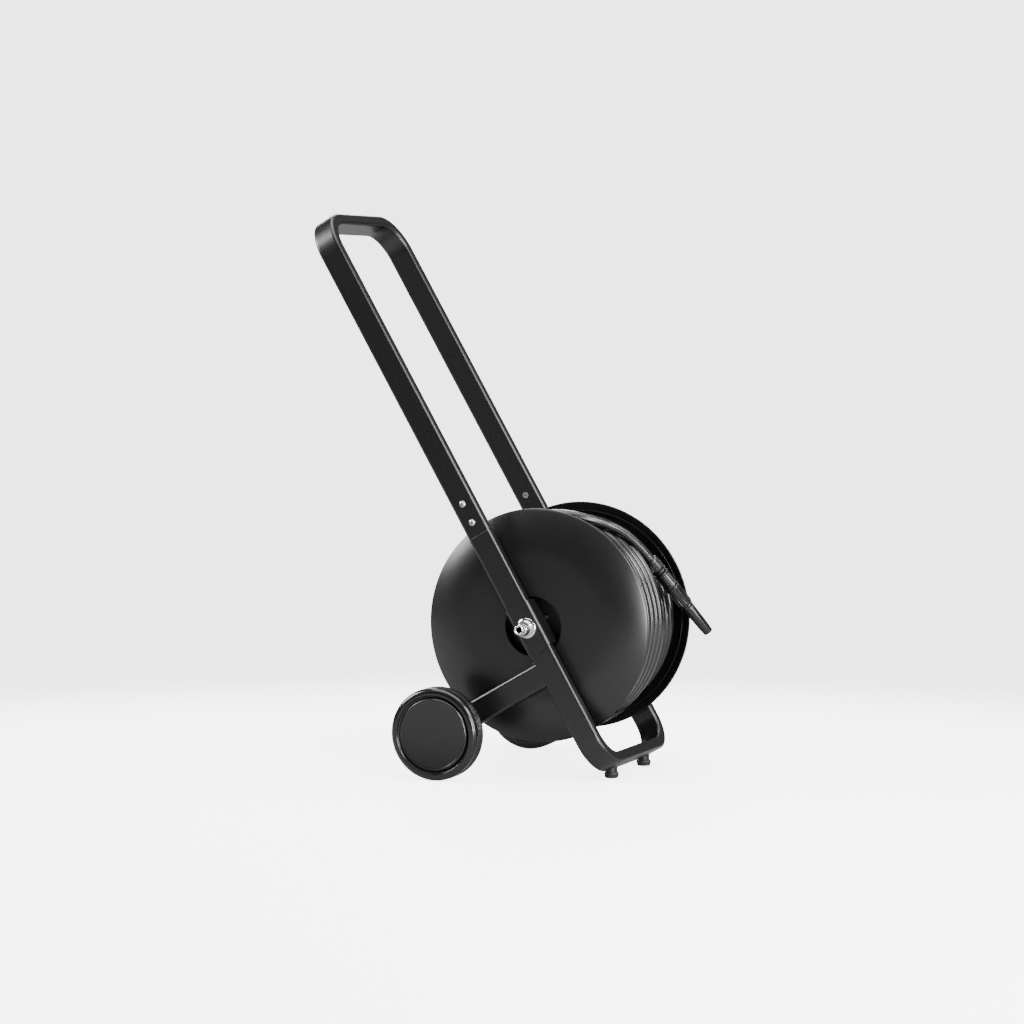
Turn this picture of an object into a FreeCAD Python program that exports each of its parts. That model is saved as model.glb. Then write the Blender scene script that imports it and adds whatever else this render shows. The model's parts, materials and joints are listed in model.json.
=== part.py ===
import FreeCAD, Part
import math
import os

# Garden hose reel cart, in millimetres.
# +X points forwards to the feet, +Y to the crank side, +Z up.
# The origin is on the ground, under the middle of the cart's box without its loose hose.
# "Leaning" shapes are drawn around the drum's axis with the frame tube upright,
# then tipped back by LEAN and lifted to the drum's axis.

V = FreeCAD.Vector

# ---- drum ----
DISC_R = 190.0            # outer radius of both dished discs
DISH_W = 76.0             # width of the round dish, from the flat middle to the rim
DISH_DEPTH = 19.0         # how far the rim lies inwards of the flat middle
DISC_SHEET = 1.5
HEM_WIDTH = 14.0          # folded band round the inner side of the rim
DISC_HOLE_R = 48.8        # opening round the hub bracket
DISC_GAP = 5.0            # from the frame tube to the disc's flat middle
CORE_SHEET = 1.5
RING_SHEET = 3.0          # thickness of the rings that carry the core
LIP_W = 14.0              # lip of each ring inside the core
CUP_RECESS = 18.0         # the hub cup's floor lies this far behind the disc's face
CUP_SHEET = 3.0
CUP_FLANGE_R = 70.0
HUB_FLANGE_R = 26.0
HUB_FLANGE_T = 4.0
DRUM_SCREW_R = 2.5
DRUM_SCREW_HEAD_R = 4.5
DRUM_SCREW_HEAD_H = 3.0
FIT = 0.3                 # gap between pieces that only lie next to each other
SLIP = 0.05               # radial clearance of running and sliding fits

# ---- hose ----
HOSE_D = 17.0
TURN_GAP = 2.3            # between turns along the drum
OUTER_TURNS = 5           # turns in the third layer, from the inlet side
RIM_SHOWS = 6.5           # how far the rims stand out past the winding

# ---- frame tube ----
TUBE_DEEP = 40.0          # fore and aft
TUBE_WIDE = 20.0          # across the cart
TUBE_CORNER = 5.0
TUBE_WALL = 1.5
TRACK = 270.0             # between the middles of the two side tubes
LEAN = 30.0               # degrees from upright
GROUND_GAP = 55.5         # from the discs' rims to the ground
HANDLE_REACH = 753.0      # from the drum's axis to the middle of the top bar
HANDLE_BEND = 55.0
BASE_BEND = 46.0
BAR_CLEARANCE = 12.7      # lowest corner of the bottom bar above the ground
SEAM = 170.0              # joint of handle and base above the drum's axis
SEAM_GAP = 0.8            # fine gap between handle and base over the inserts
SCREW_PLACES = (193.0, 227.0)
INSERT_WALL = 2.5
INSERT_BELOW = 60.0       # how far the insert reaches into the base
INSERT_ABOVE = 85.0       # and into the handle
SCREW_R = 3.0
SCREW_HEAD_R = 5.25
SCREW_HEAD_H = 2.6
SOCKET_R = 2.0
SCREW_HEAD_EDGE = 0.6     # straight edge of the head under its dome
SOCKET_DEEP = 1.6
NUT_FLANGE_T = 1.6
NUT_MEETS = 2.0           # where screw and sleeve nut meet, from the tube's middle

# ---- legs, axle and wheels ----
WHEEL_BACK = 134.0        # axle behind the drum's axis
WHEEL_R = 75.0
WHEEL_WIDE = 39.4
WHEEL_GAP = 35.0          # from the side tube's outer face to the wheel
LEG_ABOVE_AXLE = 3.7      # the leg's middle line passes this far above the axle
LEG_TAIL = 24.0           # leg past the axle
CAP_FLANGE = 3.0
CAP_PLUG = 14.0
BEAD = 4.0                # leg of the weld bead
AXLE_R = 6.0
AXLE_HEAD_FLATS = 22.0
AXLE_HEAD_T = 7.0
SPACER_R = 11.0
WASHER_R = 12.0
WASHER_T = 1.5
CLIP_R = 9.0
CLIP_T = 2.0
WHEEL_BUSH_R = 10.0
RIM_R = 58.0
TREAD_DEPTH = 1.6
CAP_DISC_R = 59.0
CAP_DISC_T = 5.0
CAP_CHAMFER = 1.5
RIM_WALL = 6.0
HUB_WALL = 7.0
SHOULDER = 7.0            # corner of the tyre between tread and side
SHOULDER_CUT = 2.0
GROOVES = 4
GROOVE_WIDE = 2.0

# ---- feet ----
FOOT_Y = 75.0
FOOT_R = 12.0
FOOT_BOTTOM_R = 11.0
FOOT_H = 10.0
FOOT_SET_BACK = 6.0       # the feet stand this far behind the bottom bar's middle
BOSS_R = 9.5
FOOT_SCREW_R = 2.5
FOOT_SCREW_HEAD_T = 2.5
FOOT_SCREW_SEAT = 4.0     # underside of the screw's head above the ground
FOOT_SCREW_GRIP = 3.5     # screw inside the boss

# ---- hub and water inlet ----
BRACKET_R = 45.0
BRACKET_SHEET = 2.0
BRACKET_DEPTH = 36.0      # from the web's outer face to the walls' inner edges
SPINDLE_R = 8.0
BORE_R = 4.5
NUT_FLATS = 24.0          # width across the flats of the two large nuts
NUT_T = 4.5
NIPPLE_L = 36.0
NIPPLE_FLANGE_R = 16.5
NIPPLE_TIP_R = 8.25
NIPPLE_TIP_L = 9.0
NIPPLE_SOCKET = 12.0      # how far the spindle reaches into the nipple
CENTRE_TUBE_R = 14.0
CHANNEL_R = 5.0
SEAL_WIRE_R = 1.0
SEAL_PLACES = (25.0, 34.0)  # the two seals, from the near cup's floor
SPINDLE_REACH = 45.0      # the spindle's inner end, from the near cup's floor
CHAMBER_L = 8.0           # water space past the spindle's end
OUTLET_SETBACK = 17.35    # hose outlet from the crank side's end of the winding
PIPE_R = 7.0
BARB_R = 6.2
BARB_L = 34.0
BUSH_R = 11.0
BUSH_FLANGE_R = 15.0
BUSH_FLANGE_T = 2.0
CUP_GAP = 0.7             # round the cup's wall, past the disc's opening
PIPE_WALL = 3.5           # boss round the feed pipe
PIPE_BOSS_L = 14.0
PIPE_SEAT = 4.0           # where the feed pipe sits in its boss
OUTLET_NUT_L = 10.0       # thread on the feed pipe's end
OUTLET_BACK = 14.0        # end of the feed pipe inside the core

# ---- crank on the +Y side ----
CRANK_ARM = 105.0
CRANK_TURN = 200.0        # degrees from +X towards +Z, seen from the inlet side
ARM_WIDE = 26.0
ARM_T = 6.0
KNOB_R = 14.0
KNOB_L = 48.0
KNOB_PIN_R = 4.0
PIN_HEAD = 3.0            # how far the pin's head stands out past the pin
PIN_HEAD_T = 4.0
RIVET_T = 1.5
RIVET_OVER = 2.5          # how far the rivet stands out past the pin
CRANK_BOLT_FLATS = 13.0
CRANK_BOLT_L = 12.0
CRANK_HEAD_T = 4.0
CRANK_WASHER_T = 1.5
CRANK_BORE = 14.0         # depth of the thread in the shaft's end

# ---- coupling and nozzle on the hose's free end ----
COUPLING_NUT = (12.0, 24.0)      # radius, length
COUPLING_BODY = (12.3, 36.0)
NOZZLE_COLLAR = (13.0, 40.0)
NOZZLE_BARREL = (10.2, 63.0)
NOZZLE_TIP_R = 8.2
SLEEVE_TRAVEL = 3.0
COUPLING_FLANGE = 3.0
NECK_STEP = 3.3           # sleeve wall, from the coupling's radius to its neck
STEM_BORE = 3.5
JET_R = 1.8
BARREL_ROOT = 15.0        # barrel inside the collar
SOCKET_L = 16.0
NOZZLE_START = (151.7, 12.0, 103.8)      # from the drum's axis
NOZZLE_END = (227.0, 87.5, -19.6)
# Middle line of the hose from its last turn to the coupling, from the drum's axis.
HOSE_END_POINTS = (
    (-70.0, -90.5, 160.0),
    (-12.0, -90.5, 179.0),
    (44.6, -83.0, 179.9),
    (94.6, -57.0, 167.3),
    (127.7, -12.1, 143.2),
    NOZZLE_START,
)

# ---- places worked out from the sizes above ----
S = math.sin(math.radians(LEAN))
C = math.cos(math.radians(LEAN))
SIDE_Y = TRACK / 2
TUBE_OUT = SIDE_Y + TUBE_WIDE / 2
TUBE_IN = SIDE_Y - TUBE_WIDE / 2
FACE_Y = TUBE_IN - DISC_GAP
RIM_Y = FACE_Y - DISH_DEPTH
DISC_FLAT_R = DISC_R - DISH_W
DISH_R = (DISH_W ** 2 + DISH_DEPTH ** 2) / (2 * DISH_DEPTH)
CUP_Y = FACE_Y - CUP_RECESS
HUB_Z = DISC_R + GROUND_GAP
# Furthest reach of a leaning bar's section from its middle, level and upright.
BAR_LEVEL = (TUBE_DEEP / 2 - TUBE_CORNER) * C + (TUBE_WIDE / 2 - TUBE_CORNER) * S + TUBE_CORNER
BAR_UPRIGHT = (TUBE_DEEP / 2 - TUBE_CORNER) * S + (TUBE_WIDE / 2 - TUBE_CORNER) * C + TUBE_CORNER
BASE_REACH = (HUB_Z - BAR_UPRIGHT - BAR_CLEARANCE) / C
REAR = HANDLE_REACH * S + BAR_LEVEL
FRONT = max(DISC_R, BASE_REACH * S + BAR_LEVEL)
HUB_X = (REAR - FRONT) / 2
AXLE_U = WHEEL_BACK * S - (HUB_Z - WHEEL_R) * C
AXLE_V = -WHEEL_BACK * C - (HUB_Z - WHEEL_R) * S
LEG_U = AXLE_U + LEG_ABOVE_AXLE
LEG_END = AXLE_V - LEG_TAIL
OUTER_LAYER_R = DISC_R - RIM_SHOWS - HOSE_D / 2
INNER_LAYER_R = OUTER_LAYER_R - 2 * HOSE_D
CORE_R = INNER_LAYER_R - HOSE_D / 2 - FIT
HOSE_PITCH = HOSE_D + TURN_GAP
HEM_GAP = 2 * (RIM_Y - 2 * DISC_SHEET - FIT)
# Turns that fit side by side between the hems, in each of the two full layers.
TURNS_ACROSS = int((HEM_GAP - HOSE_D) / HOSE_PITCH) + 1
COIL_HALF = ((TURNS_ACROSS - 1) * HOSE_PITCH + HOSE_D) / 2
OUTER_LAYER_END = -COIL_HALF + HOSE_D + (OUTER_TURNS - 1) * HOSE_PITCH
OUTLET_Y = COIL_HALF - OUTLET_SETBACK
WEB_OUT = TUBE_OUT + BRACKET_SHEET
WHEEL_INNER = TUBE_OUT + WHEEL_GAP
WHEEL_OUTER = WHEEL_INNER + WHEEL_WIDE


# ---- small helpers ----
def placed(shape, x, y, z):
    """A copy of the shape, moved."""
    moved = shape.copy()
    moved.translate(V(x, y, z))
    return moved


def at_hub(shape):
    """From the drum's axis to its place on the cart."""
    return placed(shape, HUB_X, 0, HUB_Z)


def leaning(shape):
    """Tip an upright frame shape back and lift it to the drum's axis."""
    tipped = shape.copy()
    tipped.rotate(V(0, 0, 0), V(0, 1, 0), -LEAN)
    return at_hub(tipped)


def mirrored(shape):
    """The same piece on the other side of the cart."""
    return shape.mirror(V(0, 0, 0), V(0, 1, 0))


def rod(r, y0, y1, x=0.0, z=0.0):
    """A round bar along Y."""
    return Part.makeCylinder(r, y1 - y0, V(x, y0, z), V(0, 1, 0))


def tube(r_out, r_in, y0, y1, x=0.0, z=0.0):
    return rod(r_out, y0, y1, x, z).cut(rod(r_in, y0 - 1, y1 + 1, x, z))


def turned(points):
    """Revolve a closed outline of (radius, y) points about the Y axis."""
    loop = [V(r, y, 0) for r, y in points]
    face = Part.Face(Part.makePolygon(loop + loop[:1]))
    return face.revolve(V(0, 0, 0), V(0, 1, 0), 360)


def hexagon(flats, y0, y1):
    """A hexagonal bar along Y."""
    r = flats / 2 / math.cos(math.radians(30))
    corners = []
    for i in range(7):
        a = math.radians(60 * i)
        corners.append(V(r * math.cos(a), y0, r * math.sin(a)))
    return Part.Face(Part.makePolygon(corners)).extrude(V(0, y1 - y0, 0))


def rounded_rect(deep, wide, corner):
    """A face in XY around the origin: deep along X, wide along Y, with round corners."""
    a = deep / 2
    b = wide / 2
    k = corner * (1 - math.sqrt(0.5))
    edges = []
    for sx, sy in ((1, 1), (-1, 1), (-1, -1), (1, -1)):
        side = V(sx * a, sy * (b - corner), 0)
        end = V(sx * (a - corner), sy * b, 0)
        start, stop = (side, end) if sx * sy > 0 else (end, side)
        edges.append(Part.Arc(start, V(sx * (a - k), sy * (b - k), 0), stop).toShape())
    joined = []
    for i, edge in enumerate(edges):
        following = edges[(i + 1) % 4]
        joined.append(edge)
        ends = (edge.lastVertex(True).Point, following.firstVertex(True).Point)
        joined.append(Part.LineSegment(*ends).toShape())
    return Part.Face(Part.Wire(Part.__sortEdges__(joined)))


def section(inset=0.0):
    """The frame tube's outline, or its inside when inset by the wall."""
    return rounded_rect(TUBE_DEEP - 2 * inset, TUBE_WIDE - 2 * inset, TUBE_CORNER - inset)


def cut_all(shape, tools):
    for tool in tools:
        shape = shape.cut(tool)
    return shape


def save(name, shapes):
    """Write one node: a solid, or separate solids as a group."""
    solids = []
    for shape in shapes if isinstance(shapes, list) else [shapes]:
        solids.extend(shape.Solids)
    result = solids[0] if len(solids) == 1 else Part.makeCompound(solids)
    result.exportStep("parts/" + name + ".step")
    volume = sum(s.Volume for s in solids)
    print(f"{name:20s} {len(solids):2d} solids  {volume / 1000:9.2f} cm3  valid {result.isValid()}")


# ---- frame ----
def loop(bar_u, bend, inset):
    """A U of flat tube, solid, from its side of the seam to its bar at height bar_u."""
    way = 1 if bar_u > SEAM else -1
    end_u = SEAM + way * SEAM_GAP / 2
    bend_u = bar_u - way * bend
    bar_half = SIDE_Y - bend
    pieces = []
    for side in (-1, 1):
        start = placed(section(inset), 0, side * SIDE_Y, end_u)
        pieces.append(start.extrude(V(0, 0, bend_u - end_u)))
        turn = placed(section(inset), 0, side * SIDE_Y, bend_u)
        pieces.append(turn.revolve(V(0, side * bar_half, bend_u), V(1, 0, 0), side * way * 90))
    across = section(inset)
    across.rotate(V(0, 0, 0), V(1, 0, 0), -90)
    across.translate(V(0, -bar_half, bar_u))
    pieces.append(across.extrude(V(0, 2 * bar_half, 0)))
    return pieces[0].multiFuse(pieces[1:]).removeSplitter()


def screw_holes(r):
    """Holes for the handle's screws, through both side tubes."""
    return [rod(r, -TUBE_OUT - 1, TUBE_OUT + 1, 0, u) for u in SCREW_PLACES]


def spindle_hole():
    return rod(SPINDLE_R + FIT, -TUBE_OUT - 1, -TUBE_IN + 1)


def shaft_hole():
    """The crank side carries a bush, so its hole is larger."""
    return rod(BUSH_R + SLIP, TUBE_IN - 1, TUBE_OUT + 1)


def handle_loop():
    shape = loop(HANDLE_REACH, HANDLE_BEND, 0).cut(loop(HANDLE_REACH, HANDLE_BEND, TUBE_WALL))
    return leaning(cut_all(shape, screw_holes(SCREW_R + FIT)))


def base_loop():
    shape = loop(-BASE_REACH, BASE_BEND, 0).cut(loop(-BASE_REACH, BASE_BEND, TUBE_WALL))
    return leaning(cut_all(shape, [spindle_hole(), shaft_hole()]))


def splice_inserts():
    """A short inner tube on each side that joins the handle to the base."""
    outer = TUBE_WALL + FIT
    inner = outer + INSERT_WALL
    length = INSERT_BELOW + INSERT_ABOVE
    shapes = []
    for side in (-1, 1):
        skin = placed(section(outer), 0, side * SIDE_Y, SEAM - INSERT_BELOW).extrude(V(0, 0, length))
        core = placed(section(inner), 0, side * SIDE_Y, SEAM - INSERT_BELOW).extrude(V(0, 0, length))
        shapes.append(leaning(cut_all(skin.cut(core), screw_holes(SCREW_R + FIT))))
    return shapes


def handle_screws():
    """Button-head socket screws, from the outer faces into sleeve nuts."""
    shapes = []
    for u in SCREW_PLACES:
        seat = -TUBE_OUT
        head_tip = seat - SCREW_HEAD_H
        head = turned([(0, head_tip), (SCREW_HEAD_R * 0.55, head_tip), (SCREW_HEAD_R, seat - SCREW_HEAD_EDGE),
                       (SCREW_HEAD_R, seat), (0, seat)])
        shank = rod(SCREW_R, seat, -SIDE_Y + NUT_MEETS)
        socket = hexagon(2 * SOCKET_R, head_tip - 1, head_tip + SOCKET_DEEP)
        screw = placed(head.fuse(shank).removeSplitter().cut(socket), 0, 0, u)
        shapes.append(leaning(screw))
        shapes.append(leaning(mirrored(screw)))
    return shapes


def sleeve_nuts():
    """Flanged nuts on the inner faces, round the ends of the screws."""
    shapes = []
    for u in SCREW_PLACES:
        inner_face = -TUBE_IN
        flange = rod(SCREW_HEAD_R, inner_face, inner_face + NUT_FLANGE_T)
        sleeve = rod(SCREW_R, -SIDE_Y + NUT_MEETS + FIT, inner_face)
        recess = rod(SCREW_R * 0.62, inner_face - 2, inner_face + 2)
        nut = placed(flange.fuse(sleeve).removeSplitter().cut(recess), 0, 0, u)
        shapes.append(leaning(nut))
        shapes.append(leaning(mirrored(nut)))
    return shapes


def leg(side):
    """A tube from the back of the side tube to just past the axle."""
    start = -TUBE_DEEP / 2 + TUBE_CORNER
    shapes = []
    for inset in (0, TUBE_WALL):
        face = section(inset)
        face.rotate(V(0, 0, 0), V(0, 1, 0), 90)
        face.translate(V(start, side * SIDE_Y, LEG_U))
        shapes.append(face.extrude(V(LEG_END - start, 0, 0)))
    side_tube = placed(section(), 0, side * SIDE_Y, LEG_U - TUBE_DEEP).extrude(V(0, 0, 2 * TUBE_DEEP))
    axle_hole = rod(AXLE_R + SLIP, -TUBE_OUT - 1, TUBE_OUT + 1, AXLE_V, AXLE_U)
    return leaning(cut_all(shapes[0], [shapes[1], side_tube, axle_hole]))


def weld_beads():
    """A bead above and below each leg, in the corner with the side tube."""
    shapes = []
    half = TUBE_WIDE / 2 - TUBE_CORNER
    for side in (-1, 1):
        for way in (-1, 1):
            u = LEG_U + way * TUBE_DEEP / 2
            x = -TUBE_DEEP / 2
            y = side * SIDE_Y - half
            corner = [V(x, y, u), V(x - BEAD, y, u), V(x, y, u + way * BEAD), V(x, y, u)]
            bead = Part.Face(Part.makePolygon(corner)).extrude(V(0, 2 * half, 0))
            shapes.append(leaning(bead))
    return shapes


def leg_caps():
    """Plastic plugs that close the legs' rear ends."""
    shapes = []
    for side in (-1, 1):
        flange = section()
        plug = section(TUBE_WALL + FIT)
        for face in (flange, plug):
            face.rotate(V(0, 0, 0), V(0, 1, 0), 90)
            face.translate(V(LEG_END, side * SIDE_Y, LEG_U))
        outer = flange.extrude(V(-CAP_FLANGE, 0, 0))
        inner = plug.extrude(V(CAP_PLUG, 0, 0))
        shapes.append(leaning(outer.fuse(inner).removeSplitter()))
    return shapes


def foot_shape(side):
    """A low rubber foot, wider at its top."""
    x, z = foot_place()
    foot = turned_upright([(0, 0), (FOOT_BOTTOM_R - 1, 0), (FOOT_BOTTOM_R, 1), (FOOT_R, FOOT_H - 1),
                           (FOOT_R - 1, FOOT_H), (0, FOOT_H)])
    head_r = FOOT_SCREW_R * 2 + FIT
    shank_r = FOOT_SCREW_R + FIT
    pocket = turned_upright([(0, -1), (head_r, -1), (head_r, FOOT_SCREW_SEAT), (shank_r, FOOT_SCREW_SEAT),
                             (shank_r, FOOT_H + 1), (0, FOOT_H + 1)])
    return placed(foot.cut(pocket), x, side * FOOT_Y, z)


def foot_place():
    """Feet stand under the middle of the bottom bar's underside."""
    return HUB_X + BASE_REACH * S - FOOT_SET_BACK, 0.0


def turned_upright(points):
    """Revolve a closed outline of (radius, z) points about the Z axis."""
    line = [V(r, 0, z) for r, z in points]
    face = Part.Face(Part.makePolygon(line + line[:1]))
    return face.revolve(V(0, 0, 0), V(0, 0, 1), 360)


def foot_bosses():
    """Steel bosses under the bottom bar, shaped to its underside, that take the feet."""
    bar = section()
    bar.rotate(V(0, 0, 0), V(1, 0, 0), -90)
    bar.translate(V(0, -SIDE_Y, -BASE_REACH))
    solid_bar = leaning(bar.extrude(V(0, TRACK, 0)))
    x, z = foot_place()
    shapes = []
    for side in (-1, 1):
        boss = Part.makeCylinder(BOSS_R, HUB_Z / 4, V(x, side * FOOT_Y, z + FOOT_H), V(0, 0, 1))
        below = boss.cut(solid_bar)
        lowest = min(below.Solids, key=lambda s: s.CenterOfMass.z)
        hole_from = V(x, side * FOOT_Y, z + FOOT_H - 1)
        hole = Part.makeCylinder(FOOT_SCREW_R + SLIP, FOOT_SCREW_GRIP + 1.5, hole_from, V(0, 0, 1))
        shapes.append(lowest.cut(hole))
    return shapes


def foot_screws():
    x, z = foot_place()
    shapes = []
    for side in (-1, 1):
        seat = V(x, side * FOOT_Y, z + FOOT_SCREW_SEAT)
        length = FOOT_H - FOOT_SCREW_SEAT + FOOT_SCREW_GRIP
        head = Part.makeCylinder(FOOT_SCREW_R * 2, FOOT_SCREW_HEAD_T, seat, V(0, 0, -1))
        shank = Part.makeCylinder(FOOT_SCREW_R, length, seat, V(0, 0, 1))
        shapes.append(head.fuse(shank).removeSplitter())
    return shapes


def hub_bracket(side):
    """A saddle over the side tube's outer face, with round ends about the drum's axis."""
    inner_y = -WEB_OUT + BRACKET_DEPTH
    wide = TUBE_DEEP + 2 * BRACKET_SHEET
    outer = rounded_rect(wide, 2 * BRACKET_DEPTH, TUBE_CORNER + BRACKET_SHEET)
    inner = rounded_rect(TUBE_DEEP, 2 * (BRACKET_DEPTH - BRACKET_SHEET), TUBE_CORNER)
    profile = placed(outer.cut(inner), 0, inner_y, -BRACKET_R)
    channel = profile.extrude(V(0, 0, 2 * BRACKET_R))
    channel = channel.common(rod(BRACKET_R, -WEB_OUT - 1, inner_y))
    if side < 0:
        return leaning(channel.cut(rod(SPINDLE_R + FIT, -WEB_OUT - 1, -SIDE_Y)))
    return leaning(mirrored(channel).cut(rod(BUSH_R + SLIP, SIDE_Y, WEB_OUT + 1)))


def nipple():
    """Chromed inlet nipple on the bracket's face, with a tip for a quick connector."""
    y = -WEB_OUT
    tip = y - NIPPLE_L
    neck = tip + NIPPLE_TIP_L
    groove_r = NIPPLE_TIP_R - 1.6
    cone_r = NIPPLE_TIP_R + 4.3
    step_r = NIPPLE_FLANGE_R - 2
    outline = [(BORE_R, tip), (NIPPLE_TIP_R - 1, tip), (NIPPLE_TIP_R, tip + 1), (NIPPLE_TIP_R, neck),
               (groove_r, neck + 0.5), (groove_r, neck + 3), (NIPPLE_TIP_R + 0.8, neck + 4),
               (cone_r, y - 9), (cone_r, y - 5), (step_r, y - 5), (step_r, y - 4),
               (NIPPLE_FLANGE_R, y - 3.5), (NIPPLE_FLANGE_R, y), (SPINDLE_R + SLIP, y),
               (SPINDLE_R + SLIP, y - NIPPLE_SOCKET), (BORE_R, y - NIPPLE_SOCKET)]
    return at_hub(turned(outline))


def spindle_end():
    """Inner end of the water spindle, inside the drum's centre tube."""
    return -CUP_Y + SPINDLE_REACH


def seal_places():
    return [-CUP_Y + place for place in SEAL_PLACES]


def water_spindle():
    """Fixed hollow spindle: water enters through it and the drum turns on it."""
    shape = tube(SPINDLE_R, BORE_R, -WEB_OUT - NIPPLE_SOCKET + FIT, spindle_end())
    half = SEAL_WIRE_R + 0.2
    for y in seal_places():
        shape = shape.cut(tube(SPINDLE_R + 1, SPINDLE_R - 2 * SEAL_WIRE_R, y - half, y + half))
    return at_hub(shape)


def spindle_seals():
    shapes = []
    for y in seal_places():
        ring_r = SPINDLE_R - SEAL_WIRE_R
        shapes.append(at_hub(Part.makeTorus(ring_r, SEAL_WIRE_R - SLIP, V(0, y, 0), V(0, 1, 0))))
    return shapes


def spindle_nut():
    """Clamps the spindle and the bracket on the side tube."""
    shape = hexagon(NUT_FLATS, -TUBE_IN, -TUBE_IN + NUT_T).cut(rod(SPINDLE_R + SLIP, -TUBE_OUT, 0))
    return leaning(shape)


def shaft_bush():
    """Plastic bearing in the crank side's tube and bracket."""
    y1 = WEB_OUT
    shape = tube(BUSH_R, SPINDLE_R + SLIP, TUBE_IN, y1)
    flange = tube(BUSH_FLANGE_R, SPINDLE_R + SLIP, y1, y1 + BUSH_FLANGE_T)
    return at_hub(shape.fuse(flange).removeSplitter())


# ---- axle and wheels ----
def on_axle(shape):
    """From the axle's own middle line to its place on the cart."""
    return placed(shape, HUB_X - WHEEL_BACK, 0, WHEEL_R)


def washer_places():
    """Sides of each washer that face the cart's middle: inside and outside the wheel."""
    inside = WHEEL_INNER - FIT - WASHER_T
    outside = WHEEL_OUTER - CAP_DISC_T - CLIP_T - WASHER_T - 2
    return inside, outside


def stub_axles():
    """A short axle through each leg, with its head on the leg's inner face."""
    end = washer_places()[1] + WASHER_T + CLIP_T
    head = hexagon(AXLE_HEAD_FLATS, TUBE_IN - AXLE_HEAD_T, TUBE_IN)
    shape = head.fuse(rod(AXLE_R, TUBE_IN, end)).removeSplitter()
    return [on_axle(shape), on_axle(mirrored(shape))]


def axle_spacers():
    shape = tube(SPACER_R, AXLE_R + FIT, TUBE_OUT, washer_places()[0])
    return [on_axle(shape), on_axle(mirrored(shape))]


def axle_washers():
    shapes = []
    for y in washer_places():
        shape = tube(WASHER_R, AXLE_R + SLIP, y, y + WASHER_T)
        shapes.append(on_axle(shape))
        shapes.append(on_axle(mirrored(shape)))
    return shapes


def axle_clips():
    """Push-on caps that hold the wheels on the axle."""
    y = washer_places()[1] + WASHER_T
    shape = tube(CLIP_R, AXLE_R, y, y + CLIP_T)
    return [on_axle(shape), on_axle(mirrored(shape))]


def wheel_bush(side):
    inner, outer = washer_places()
    shape = tube(WHEEL_BUSH_R, AXLE_R + SLIP, WHEEL_INNER, outer - FIT)
    return on_axle(shape if side > 0 else mirrored(shape))


def wheel_rim(side):
    """Plastic wheel body: hub, web and rim, open outwards under the cap."""
    y0 = WHEEL_INNER
    y1 = WHEEL_OUTER - CAP_DISC_T
    hub_out = washer_places()[1] - FIT
    hub_r = WHEEL_BUSH_R + HUB_WALL
    web = y0 + RIM_WALL
    wall = RIM_R - RIM_WALL
    outline = [(WHEEL_BUSH_R + SLIP, y0), (RIM_R, y0), (RIM_R, y1), (wall, y1), (wall, web), (hub_r, web),
               (hub_r, hub_out), (WHEEL_BUSH_R + SLIP, hub_out)]
    shape = turned(outline)
    return on_axle(shape if side > 0 else mirrored(shape))


def wheel_tyre(side):
    """Tyre with rounded shoulders and four grooves round its tread."""
    y0 = WHEEL_INNER
    y1 = WHEEL_OUTER
    r = WHEEL_R
    cut = SHOULDER_CUT
    half = GROOVE_WIDE / 2
    tread = [(RIM_R + FIT, y0), (r - SHOULDER, y0), (r - cut, y0 + cut), (r, y0 + SHOULDER)]
    land = (y1 - y0 - 2 * SHOULDER) / (GROOVES + 1)
    for i in range(1, GROOVES + 1):
        y = y0 + SHOULDER + land * i
        tread += [(r, y - half), (r - TREAD_DEPTH, y - half), (r - TREAD_DEPTH, y + half), (r, y + half)]
    seat = y1 - CAP_DISC_T - FIT
    tread += [(r, y1 - SHOULDER), (r - cut, y1 - cut), (r - SHOULDER, y1), (CAP_DISC_R + 3, y1),
              (CAP_DISC_R + FIT, y1 - 3), (CAP_DISC_R + FIT, seat), (RIM_R + FIT, seat)]
    shape = turned(tread)
    return on_axle(shape if side > 0 else mirrored(shape))


def wheel_cap(side):
    """Flat hub cap with a chamfered edge."""
    y1 = WHEEL_OUTER
    y0 = y1 - CAP_DISC_T
    shape = turned([(0, y0), (CAP_DISC_R, y0), (CAP_DISC_R, y1 - CAP_CHAMFER),
                    (CAP_DISC_R - CAP_CHAMFER, y1), (0, y1)])
    return on_axle(shape if side > 0 else mirrored(shape))


# ---- drum ----
def dish_point(depth, angle):
    """A point (radius, y) of the dish, at a depth under its outer face; the angle starts at the flat."""
    r = DISH_R - depth
    return DISC_FLAT_R + r * math.sin(angle), -FACE_Y + DISH_R - r * math.cos(angle)


def dish_angle(radius, depth):
    return math.asin((radius - DISC_FLAT_R) / (DISH_R - depth))


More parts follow.
